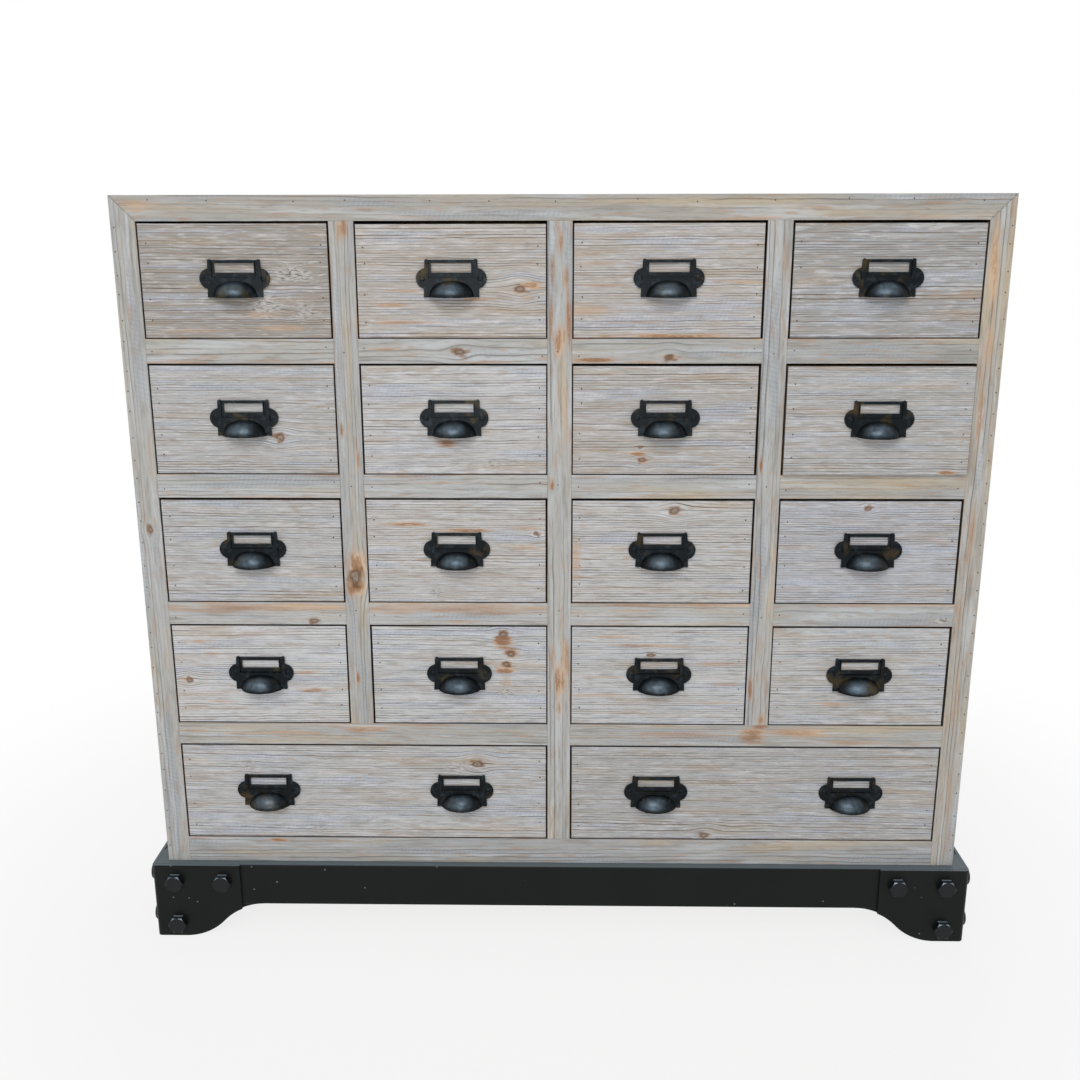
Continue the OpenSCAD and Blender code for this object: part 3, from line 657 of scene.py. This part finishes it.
frame_ring = 5.0
frame_wood = washed_fir(
    "smooth sanded fir with a grey white wash", frame_ring,
    ("#babdbe", "#b9b4ab"),
    [
        ("thin", 0.0, 1.0, 1.0, "#9b958d"),
        ("thin", 0.0, -1.0, 1.0, "#dadcde"),
        ("warm", 0.0, 1.0, 0.4, "#bca684"),
        ("warm", 0.0, -1.0, 0.5, "#abb0b8"),
        ("blotch", 0.5, 0.7, 0.55, "#938e86"),
        ("cloud", 0.53, 0.7, 0.55, "#cdbb9d"),
        ("cloud", 0.47, 0.32, 0.55, "#adb4bd"),
        ("streak", 0.5, 0.68, 0.55, "#d2d6da"),
        ("breaks", 0.56, 0.72, 0.5, "#b9967a"),
        ("sawn", 0.3, 0.9, 0.13, "#8a8884"),
    ],
    0.45, 0.45, broader=1.8,
)


def millimetres(node):
    """The low and the high corner of a CAD node, in mm."""
    low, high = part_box(node)
    return list(low / MM), list(high / MM)


UP, DOWN, RIGHT, LEFT, FRONT = (0, 0, 1), (0, 0, -1), (1, 0, 0), (-1, 0, 0), (0, -1, 0)

# Sides and top: three boards each, laid edge to edge with a hair's gap. The rearmost side board
# is rabbeted for the back.
board_gap = 0.6
back_rabbet = (5.0, 8.0)


def wide_board(made, seed):
    """A washed board of a side or the top, with a few knots and rubbed streaks."""
    _, _, (length, width, _) = made
    vary = np.random.default_rng(seed)
    knots = []
    for _ in range(3):
        spot = (vary.uniform(0.08, 0.92) * length, vary.uniform(0.15, 0.85) * width)
        knots.append((*spot, vary.uniform(5, 11)))
    bare = [(at, over, 2.2 * radius, 0.5 * radius, 0.8) for at, over, radius in knots]
    for _ in range(5):
        spot = (vary.uniform(0, 1) * length, vary.uniform(0, 1) * width)
        bare.append((*spot, vary.uniform(30, 110), vary.uniform(3, 8), vary.uniform(0.4, 0.8)))
    slope = vary.uniform(-0.006, 0.006)
    thin = vary.uniform(-0.2, 0.3)
    return weathered(
        made, frame_ring, 0.25, seed, knots, bare, edge_wear=(0.4, 0.4), slope=slope, thin=thin, warm=0.5,
        grimy=(0, 0),
    )


for name, node, along, out, seeds in (
    ("side_panel_left_boards", "side_panel_left", UP, LEFT, (41, 44, 47)),
    ("side_panel_right_boards", "side_panel_right", DOWN, RIGHT, (40, 43, 46)),
    ("top_boards", "top_panel", RIGHT, UP, (60, 61, 62)),
):
    low, high = millimetres(node)
    pitch = (high[1] - low[1] + board_gap) / len(seeds)
    meshes = []
    for i, seed in enumerate(seeds):
        start = [low[0], low[1] + i * pitch, low[2]]
        end = [high[0], low[1] + (i + 1) * pitch - board_gap, high[2]]
        rearmost = i == len(seeds) - 1
        rabbet = back_rabbet if rearmost and node != "top_panel" else None
        made = board(start, end, along, out, ease=0.8, cell=(9.0, 1.3), rabbet=rabbet)
        meshes.append(wide_board(made, seed))
    join(name, meshes, frame_wood, node)


# Face frame: stiles and rails of fir, planed, brushed lightly and washed in grey white. The top
# corners are mitred, the rest is butted and nailed, and the arrises are rubbed through.
stile_w, rail_h = 30.0, 30.0
frame_cell = (5.0, 1.0)
frame_relief = 0.22
mitre_gap = 0.2


def member(low, high, along, seed, **marks):
    """A stile or rail of the face frame."""
    mitres = marks.pop("mitres", ())
    made = board(low, high, along, FRONT, ease=0.6, cell=frame_cell, mitres=mitres)
    marks.setdefault("edge_wear", (0.6, 0.6))
    return weathered(made, frame_ring, frame_relief, seed, **marks)


low, high = millimetres("stiles_outer")
tall = high[2] - low[2]
left_stile = member(
    low, [low[0] + stile_w, high[1], high[2]], UP, 101,
    mitres=[((tall - mitre_gap, stile_w, 0), (1, -1, 0))], edge_wear=(0.6, 0.2), grimy=(1, 0), thin=-0.2,
    bare=[(560, 6, 60, 3, 0.5), (300, 4, 60, 3, 0.5)], knots=[(470, 14, 6)],
)
right_stile = member(
    [high[0] - stile_w, low[1], low[2]], high, UP, 102, mitres=[((tall - mitre_gap, 0, 0), (1, 1, 0))],
    edge_wear=(0.4, 0.6), grimy=(0, 1), thin=-0.2, warm=0.6,
    bare=[
        (800, 21, 70, 9, 0.8), (700, 18, 42, 7, 0.65), (611, 22, 85, 4, 0.75), (466, 17, 65, 5, 0.75),
        (357, 22, 30, 3, 0.7), (249, 17, 60, 4, 0.65), (109, 15, 55, 4, 0.55),
    ],
)
join("stiles_outer_boards", [left_stile, right_stile], frame_wood, "stiles_outer")

low, high = millimetres("stile_center")
center = member(
    low, high, UP, 103, thin=-0.2,
    bare=[
        (788, 14, 22, 6, 0.8), (753, 24, 26, 5, 0.75), (747, 9, 18, 5, 0.8), (697, 26, 46, 4, 0.85),
        (694, 4, 46, 4.5, 0.85), (672, 16, 24, 11, 0.9), (573, 8, 75, 5, 0.5), (492, 24, 13, 5, 0.95),
        (264, 24, 32, 4, 0.75), (264, 6, 34, 4, 0.8), (230, 14, 36, 10, 0.95), (190, 14, 22, 4, 0.85),
    ],
)
join("stile_center_board", [center], frame_wood, "stile_center")

low, high = millimetres("stiles_inner")
inner_left = member(
    low, [low[0] + stile_w, high[1], high[2]], UP, 104, knots=[(203, 16, 15)],
    bare=[
        (635, 14, 18, 9, 0.85), (392, 25, 15, 3.5, 1.0), (354, 6, 20, 3, 0.85), (188, 16, 16, 18, 1.0),
        (220, 14, 24, 15, 1.0), (65, 18, 11, 4, 1.0),
    ],
)
inner_right = member(
    [high[0] - stile_w, low[1], low[2]], high, UP, 105, thin=-0.2,
    bare=[(348, 25, 15, 4, 1.0), (55, 25, 22, 4, 0.9), (8, 9, 14, 9, 0.9), (200, 3, 60, 3, 0.6)],
)
join("stiles_inner_boards", [inner_left, inner_right], frame_wood, "stiles_inner")

low, high = millimetres("rail_top")
wide = high[0] - low[0]
top = member(
    low, high, RIGHT, 106,
    mitres=[((mitre_gap, rail_h, 0), (-1, -1, 0)), ((wide - mitre_gap, rail_h, 0), (1, -1, 0))],
    bare=[
        (36, 18, 34, 9, 0.55), (90, 2, 15, 3, 0.7), (365, 4, 45, 3, 0.45), (782, 3, 32, 3, 0.6),
        (970, 3, 40, 3, 0.5),
    ],
    edge_wear=(0.5, 0.2), grimy=(1, 0), thin=0.27, warm=0.35,
)
join("rail_top_board", [top], frame_wood, "rail_top")

low, high = millimetres("rail_bottom")
bottom = member(
    low, high, RIGHT, 107, warm=-0.6, thin=0.2, bare=[(122, 32, 20, 4, 1.0), (640, 30, 34, 4, 0.5)],
    edge_wear=(0.2, 0.4),
)
join("rail_bottom_board", [bottom], frame_wood, "rail_bottom")

# Cross rails: a short one under each drawer of the upper three rows, and a long one over each
# wide drawer, all butted between the stiles.
side_gap, upper_gap, running_gap = 1.5, 2.4, 0.3
frame_low, frame_high = millimetres("rails_cross")


def opening(drawer):
    """The left, right, lower and upper edge of the opening that a drawer fills."""
    low, high = millimetres("drawer_" + drawer)
    return low[0] - side_gap, high[0] + side_gap, low[2] - running_gap, high[2] + upper_gap


rail_marks = {
    "r1_c1": {"thin": -0.2, "bare": [(45, 2, 42, 3, 0.6), (150, 2, 60, 2, 0.4)]},
    "r1_c2": {
        "thin": -0.2, "knots": [(123, 14, 9)],
        "bare": [(34, 17, 38, 2.5, 0.8), (150, 2, 60, 2.5, 0.6), (123, 14, 18, 3, 0.85)],
    },
    "r1_c3": {
        "knots": [(118, 8, 7)], "bare": [(20, 4, 42, 4, 1.0), (90, 2, 32, 2.5, 0.7), (118, 8, 18, 3, 0.8)],
    },
    "r1_c4": {"thin": 0.25, "bare": [(25, 28, 26, 3, 0.6), (120, 4, 110, 2, 0.4)]},
    "r2_c1": {"thin": -0.3, "bare": [(14, 6, 16, 4, 0.65)]},
    "r2_c2": {"thin": -0.3, "bare": [(45, 28, 48, 3, 0.65), (120, 20, 100, 2, 0.4)]},
    "r2_c3": {"thin": -0.2, "bare": [(22, 27, 24, 3, 0.6)]},
    "r2_c4": {"thin": 0.2},
    "r3_c1": {"thin": -0.35, "knots": [(189, 5, 6)], "bare": [(112, 23, 190, 10, 0.68)]},
    "r3_c2": {"thin": -0.35, "bare": [(110, 22, 190, 10, 0.68), (120, 5, 26, 4, 0.6)]},
    "r3_c3": {"thin": -0.3, "bare": [(115, 28, 150, 3, 0.8), (80, 20, 42, 3, 0.6)]},
    "r3_c4": {"thin": -0.1, "bare": [(90, 28, 90, 2.5, 0.6)], "torn": [(216, 8, 16, 4, 0.8)]},
    "wide_left": {
        "thin": -0.15, "bare": [(150, 17, 80, 3, 0.65), (245, 22, 44, 6, 0.8), (320, 28, 95, 3, 0.7)],
    },
    "wide_right": {
        "bare": [
            (242, 16, 28, 14, 0.9), (250, 28, 14, 6, 0.9), (300, 20, 60, 10, 0.8), (365, 6, 65, 4, 0.7),
            (150, 16, 85, 8, 0.6),
        ],
    },
}
meshes = []
for row in (1, 2, 3):
    for column in (1, 2, 3, 4):
        drawer = f"r{row}_c{column}"
        left, right, lower, _ = opening(drawer)
        low, high = [left, frame_low[1], lower - rail_h], [right, frame_high[1], lower]
        meshes.append(member(low, high, RIGHT, 110 + 4 * row + column, **rail_marks[drawer]))
for drawer in ("wide_left", "wide_right"):
    left, right, _, upper = opening(drawer)
    low, high = [left, frame_low[1], upper], [right, frame_high[1], upper + rail_h]
    meshes.append(member(low, high, RIGHT, 130 + len(drawer), **rail_marks[drawer]))
join("rails_cross_boards", meshes, frame_wood, "rails_cross")


# Drawer fronts: fir boards, deeply wire-brushed so that the late wood stands up in fine lines
# three to four millimetres apart, washed white and nailed over the drawer sides.
front_ring = 3.1
drawer_wood = washed_fir(
    "wire-brushed fir with a white wash", front_ring,
    ("#d3d7dc", "#c9c6c2"),
    [
        ("blotch", 0.5, 0.7, 0.58, "#9e9b97"),
        ("thin", 0.0, 1.0, 1.0, "#989591"),
        ("thin", 0.0, -1.0, 1.0, "#e5e5e8"),
        ("warm", 0.0, 1.0, 0.3, "#c1a88b"),
        ("warm", 0.0, -1.0, 0.3, "#a7acc0"),
        ("cloud", 0.54, 0.7, 0.4, "#bda68c"),
        ("cloud", 0.47, 0.32, 0.6, "#bdc4d3"),
        ("streak", 0.47, 0.34, 0.34, "#eae9ec"),
        ("breaks", 0.46, 0.32, 0.42, "#e6e5e8"),
        ("breaks", 0.58, 0.72, 0.45, "#b89a80"),
        ("orange line", 0.0, 1.0, 0.6, "#ad7f5b"),
        ("sawn", 0.3, 0.9, 0.08, "#8f8b86"),
    ],
    0.95, 0.38,
)
front_t = 18.0
front_lift = 0.9
front_relief = 0.5
groove_end, groove_low, groove_high, groove_depth = 7.4, 8.0, 12.2, 5.0
thin_board, long_board = 10.0, 100.0
drawers = [f"r{row}_c{column}" for row in (1, 2, 3, 4) for column in (1, 2, 3, 4)]
drawers += ["wide_left", "wide_right"]
drawer_marks = {
    "r1_c1": {
        "thin": 0.7, "warm": 0.5,
        "torn": [(186, 76, 30, 12, 1.0), (150, 38, 24, 14, 0.8), (196, 30, 24, 12, 0.6)],
        "bare": [(142, 28, 30, 5, 0.6), (170, 12, 44, 5, 0.55), (60, 8, 60, 4, 0.5)],
    },
    "r1_c2": {
        "thin": 0.31, "warm": 0.7, "knots": [(196, 58, 9)],
        "bare": [
            (210, 62, 16, 5, 0.9), (206, 48, 10, 4, 0.7), (60, 56, 34, 3, 0.7), (40, 39, 30, 3, 0.75),
            (150, 46, 34, 3, 0.75), (60, 18, 60, 3, 0.7),
        ],
    },
    "r1_c3": {
        "thin": 0.29, "warm": 0.7,
        "bare": [
            (20, 33, 34, 9, 0.6), (110, 2, 110, 4, 0.95), (60, 120, 50, 3, 0.5), (30, 62, 50, 3, 0.6),
            (28, 88, 40, 3, 0.55), (205, 66, 36, 3, 0.5), (80, 18, 70, 3, 0.5),
        ],
    },
    "r1_c4": {"thin": 0.6, "warm": -0.2},
    "r2_c1": {"thin": 0.35, "warm": 0.15, "knots": [(157, 46, 8)]},
    "r2_c2": {"thin": 0.12, "warm": 0.3, "bare": [(102, 39, 20, 9, 1.0)], "torn": [(157, 12, 50, 8, 0.4)]},
    "r2_c3": {
        "thin": 0.37, "warm": 0.5, "knots": [(86, 18, 5), (84, 34, 3)],
        "bare": [(81, 25, 14, 4, 1.0), (87, 17, 8, 6, 0.9)],
    },
    "r2_c4": {"thin": 0.38, "bare": [(202, 4, 16, 4, 1.0)]},
    "r3_c1": {"thin": 0.31},
    "r3_c2": {
        "warm": 0.5, "knots": [(215, 91, 4)], "torn": [(87, 16, 8, 12, 0.7)],
        "bare": [
            (45, 103, 38, 4, 0.9), (129, 95, 36, 4, 0.9), (205, 98, 30, 5, 0.5), (203, 72, 24, 3, 0.65),
        ],
    },
    "r3_c3": {"warm": 0.4, "knots": [(129, 122, 8)], "bare": [(4, 57, 9, 40, 0.6), (130, 118, 14, 4, 0.8)]},
    "r3_c4": {"thin": 0.2, "warm": -0.9, "knots": [(110, 125, 5)]},
    "r4_c1": {
        "thin": -0.3, "knots": [(18, 59, 6)],
        "bare": [
            (14, 60, 12, 4, 0.7), (35, 113, 30, 3, 0.7), (52, 96, 20, 3, 0.7), (172, 71, 26, 3, 0.75),
            (183, 46, 30, 5, 0.8), (56, 29, 30, 3, 0.7),
        ],
    },
    "r4_c2": {
        "knots": [(171, 124, 8), (180, 97, 7), (174, 83, 6)], "torn": [(172, 44, 10, 12, 1.0)],
        "bare": [
            (170, 114, 16, 14, 1.0), (180, 99, 18, 8, 0.95), (173, 74, 16, 6, 1.0), (174, 60, 10, 10, 0.7),
        ],
    },
    "r4_c3": {
        "knots": [(102, 97, 5)],
        "bare": [
            (95, 109, 70, 3, 0.8), (60, 122, 40, 2, 0.5), (34, 66, 44, 3, 0.55), (30, 40, 50, 3, 0.5),
            (196, 84, 40, 4, 0.6), (200, 56, 36, 3, 0.6), (188, 30, 44, 3, 0.5),
        ],
    },
    "r4_c4": {"thin": 0.22, "bare": [(85, 28, 40, 5, 0.7)]},
    "wide_left": {
        "thin": 0.26, "knots": [(396, 109, 9)],
        "torn": [(90, 106, 10, 12, 0.6), (179, 12, 12, 8, 0.6), (370, 104, 26, 9, 0.5)],
    },
    "wide_right": {"thin": 0.43, "warm": 0.1, "knots": [(180, 6, 7)]},
}
# No front fills its opening like the next one: so many mm are planed off left, right and above.
planed = {
    "r1_c1": (0.0, 1.0, 0.1), "r1_c2": (0.1, 0.2, 1.3), "r1_c3": (0.2, 1.2, 0.6), "r1_c4": (1.1, 0.3, 1.0),
    "r2_c1": (0.0, 0.6, 0.0), "r2_c2": (0.5, 0.0, 0.2), "r2_c3": (0.0, 1.4, 0.7), "r2_c4": (0.2, 0.3, 0.5),
    "r3_c1": (0.1, 0.8, 0.9), "r3_c2": (0.0, 0.9, 0.3), "r3_c3": (0.2, 0.9, 0.9), "r3_c4": (0.6, 1.1, 0.9),
    "r4_c1": (0.1, 0.8, 0.2), "r4_c2": (0.7, 0.1, 0.3), "r4_c3": (0.2, 0.3, 0.1), "r4_c4": (0.1, 1.3, 0.4),
    "wide_left": (0.2, 0.8, 0.4), "wide_right": (0.9, 0.3, 0.4),
}
for number, name in enumerate(drawers):
    low, high = millimetres("drawer_" + name)
    low[2] += front_lift
    high[1] = low[1] + front_t
    planed_left, planed_right, planed_above = planed[name]
    low[0] += planed_left
    high[0] -= planed_right
    high[2] -= planed_above
    groove_from, groove_to = groove_end - planed_left, high[0] - low[0] - groove_end + planed_right
    made = board(
        low, high, RIGHT, FRONT, ease=0.7, cell=(4.0, 0.7),
        groove=((groove_from, groove_low), (groove_to, groove_high), groove_depth),
    )
    vary = np.random.default_rng(200 + number)
    mesh = weathered(
        made, vary.uniform(2.7, 3.5), front_relief, 200 + number, slope=vary.uniform(-0.012, 0.012),
        edge_wear=(0.35, 0.2), **drawer_marks.get(name, {}),
    )
    body = "drawer_" + name
    join(body + "_front", [mesh], drawer_wood, body, body)

    for part, look, slot in (
        ("sides", fir_along_y, "inner_wood"),
        ("back", fir_along_x, "inner_wood"),
        ("bottom", plywood, "plywood"),
    ):
        bm = bmesh.new()
        bm.from_mesh(frame["nodes"][body].data)
        bmesh.ops.remove_doubles(bm, verts=bm.verts, dist=0.01 * MM)
        left_to_sort = set(bm.verts)
        while left_to_sort:
            solid = {left_to_sort.pop()}
            growing = list(solid)
            while growing:
                growing = list({e.other_vert(v) for v in growing for e in v.link_edges} - solid)
                solid.update(growing)
            left_to_sort -= solid
            deep, tall = [np.ptp([vert.co[axis] for vert in solid]) / MM for axis in (1, 2)]
            across = "back" if deep < front_t - 1 else "front"
            kind = "bottom" if tall < thin_board else "sides" if deep > long_board else across
            if kind != part:
                bmesh.ops.delete(bm, geom=list(solid), context="VERTS")
        bmesh.ops.dissolve_limit(bm, angle_limit=radians(0.4), verts=bm.verts, edges=bm.edges)
        box = finished(body + "_" + part, bm, look)
        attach(box, body)


# Pulls: sand-cast iron with a card holder over a half cup, dipped in a thin blue-black finish.
# Fingers have rubbed the cups to ochre, and the middle of each cup is a lighter blue grey, partly finger
# polish and partly a painted highlight. Two countersunk screws hold each pull.
gunmetal, tree, shader = material(
    "blue-black finish on cast iron", {"Metallic": 0.5, "Specular IOR Level": 0.25},
)
place = add(tree, "TexCoord").outputs["Object"]
cloud_size, mottle_size, rub_size, grit_size = 30, 9, 24, 1.1
cloud = add(tree, "TexNoise", {"Vector": place, "Scale": 1000 / cloud_size, "Detail": 4.0})
mottle = add(
    tree, "TexNoise", {"Vector": place, "Scale": 1000 / mottle_size, "Detail": 3.0, "Distortion": 0.6},
)
tone = add(tree, "MixRGB", {"Fac": cloud, 1: "#05080a", 2: "#10181d"})
greyed = add(tree, "MapRange", {"Value": mottle, "From Min": 0.52, "From Max": 0.7, "To Max": 0.35})
tone = add(tree, "MixRGB", {"Fac": greyed, 1: tone, 2: "#3a464f"})
rub = add(tree, "TexNoise", {"Vector": place, "Scale": 1000 / rub_size, "Detail": 3.0, "Distortion": 0.5})
touched_and_highlit = add(tree, "Attribute", attribute_name="touched_and_highlit").outputs["Fac"]
patchy = add(tree, "MapRange", {"Value": mottle, "From Min": 0.25, "From Max": 0.7, "To Min": 0.35})
polish_and_highlight = add(tree, "Math", {0: touched_and_highlit, 1: patchy}, operation="MULTIPLY")
# Finger polish and painted highlight: the middle of the cup turns a lighter blue grey.
tone = add(tree, "MixRGB", {"Fac": polish_and_highlight, 1: tone, 2: "#55636e"})
rubbed = add(tree, "MapRange", {"Value": rub, "From Min": 0.57, "From Max": 0.74, "To Max": 0.6})
handled = add(tree, "MapRange", {"Value": touched_and_highlit, "To Min": 0.9, "To Max": 0.6})
browned = add(tree, "Math", {0: rubbed, 1: handled}, operation="MULTIPLY")
brown = add(tree, "MixRGB", {"Fac": browned, 1: tone, 2: "#594a28"})
worn_edge = add(tree, "Attribute", attribute_name="rubbed").outputs["Fac"]
edge_share = add(tree, "Math", {0: worn_edge, 1: cloud}, operation="MULTIPLY")
edged = add(tree, "MixRGB", {"Fac": edge_share, 1: brown, 2: "#6d6654"})
gloss = add(tree, "MapRange", {"Value": mottle, "To Min": 0.24, "To Max": 0.4})
grit = add(tree, "TexNoise", {"Vector": place, "Scale": 1000 / grit_size, "Detail": 3.0})
bump = add(tree, "Bump", {"Height": grit, "Strength": 0.3, "Distance": 0.2 * MM})
feed(shader, {"Base Color": edged, "Normal": bump, "Roughness": gloss})
pull_w = 85.0
rub_and_highlight_shift = 3.5
for name in drawers:
    pull = eased_copy("pull_" + name, 0.35, gunmetal)
    low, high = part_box("pull_" + name)
    along, depth, level = points(pull.data).T
    proud = (high[1] - depth) / (high[1] - low[1])
    height = (level - low[2]) / (high[2] - low[2])
    # Finger polish and painted highlight: the mask covers the middle of each cup's bulge, shifted a little
    # to the left.
    bulge = smooth(proud, 0.45, 0.85) * smooth(height, 0.02, 0.16)
    cups = [low[0] + pull_w / 2 * MM, high[0] - pull_w / 2 * MM]
    aside = np.min([np.abs(along - cup + rub_and_highlight_shift * MM) for cup in cups], axis=0)
    bulge *= 1 - smooth(aside / MM, 6, 22)
    layer = pull.data.attributes.new("touched_and_highlit", "FLOAT", "POINT")
    layer.data.foreach_set("value", bulge.astype(np.float32))


# Brads: thin wire nails with small round heads, set flush and gone dark. Four hold each end of
# a drawer front, and rows of them hold the face frame.
brad_iron, tree, shader = material("rusted wire brad", {"Roughness": 0.7})
place = add(tree, "TexCoord").outputs["Object"]
cloud = add(tree, "TexNoise", {"Vector": place, "Scale": 300.0, "Detail": 2.0})
tone = add(tree, "MixRGB", {"Fac": cloud, 1: "#2b241f", 2: "#54463b"})
feed(shader, {"Base Color": tone})
head_r, head_h, head_proud = 1.0, 1.0, 0.1


def brads(name, body, places, face, out=-1):
    """Nail heads at these places (x, z) in a face that looks to the front, all in mm. With out
    at 1 the face looks to the back."""
    bm = bmesh.new()
    for x, z in places:
        turn = Matrix.Rotation(radians(-90 * out), 4, "X")
        spot = Matrix.Translation((x * MM, (face + out * (head_proud - head_h / 2)) * MM, z * MM))
        bmesh.ops.create_cone(
            bm, cap_ends=True, segments=10, radius1=head_r * MM, radius2=head_r * 0.8 * MM,
            depth=head_h * MM, matrix=spot @ turn,
        )
    piece = finished(name, bm, brad_iron)
    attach(piece, body)


for number, name in enumerate(drawers):
    low, high = millimetres("drawer_" + name)
    vary = np.random.default_rng(300 + number)
    places = []
    for edge, inward in ((low[0], 1), (high[0], -1)):
        for share in (0.16, 0.36, 0.64, 0.82):
            x = edge + inward * (9 + vary.uniform(-1, 1.5))
            places.append((x, low[2] + (high[2] - low[2]) * (share + vary.uniform(-0.03, 0.03))))
    brads("drawer_" + name + "_brads", "drawer_" + name, places, low[1])

low, high = millimetres("stiles_outer")
stile_step, rail_step, column_pitch = 28.4, 82, 260.5
vary = np.random.default_rng(400)
places = []
for edge, inward in ((low[0], 1), (high[0], -1)):
    for i in range(30):
        z = low[2] + 22 + i * stile_step
        places.append((edge + inward * (4 + vary.uniform(-0.8, 0.8)), z + vary.uniform(-5, 5)))
for i in range(13):
    x = low[0] + 45 + i * rail_step
    places.append((x + vary.uniform(-12, 12), high[2] - 7 + vary.uniform(-2, 2)))
for drawer in drawers[:12]:
    left, right, lower, _ = opening(drawer)
    for x in (left + 8, right - 8):
        places.append((x + vary.uniform(-2, 2), lower - rail_h / 2 + vary.uniform(-6, 6)))
for middle in (left - stile_w / 2 - i * column_pitch for i in range(3)):
    for row in (1, 2, 3):
        z = opening(f"r{row}_c1")[2] - rail_h / 2
        places.append((middle + vary.uniform(-3, 3), z + vary.uniform(-5, 5)))
brads("face_frame_brads", "root", places, low[1])

low, high = millimetres("back_panel")
places = []
for i in range(11):
    x = low[0] + 25 + i * (high[0] - low[0] - 50) / 10
    places += [(x, low[2] + 9), (x, high[2] - 9)]
for i in range(1, 9):
    z = low[2] + 9 + i * (high[2] - low[2] - 18) / 9
    places += [(low[0] + 4, z), (high[0] - 4, z)]
brads("back_brads", "root", places, high[1], 1)
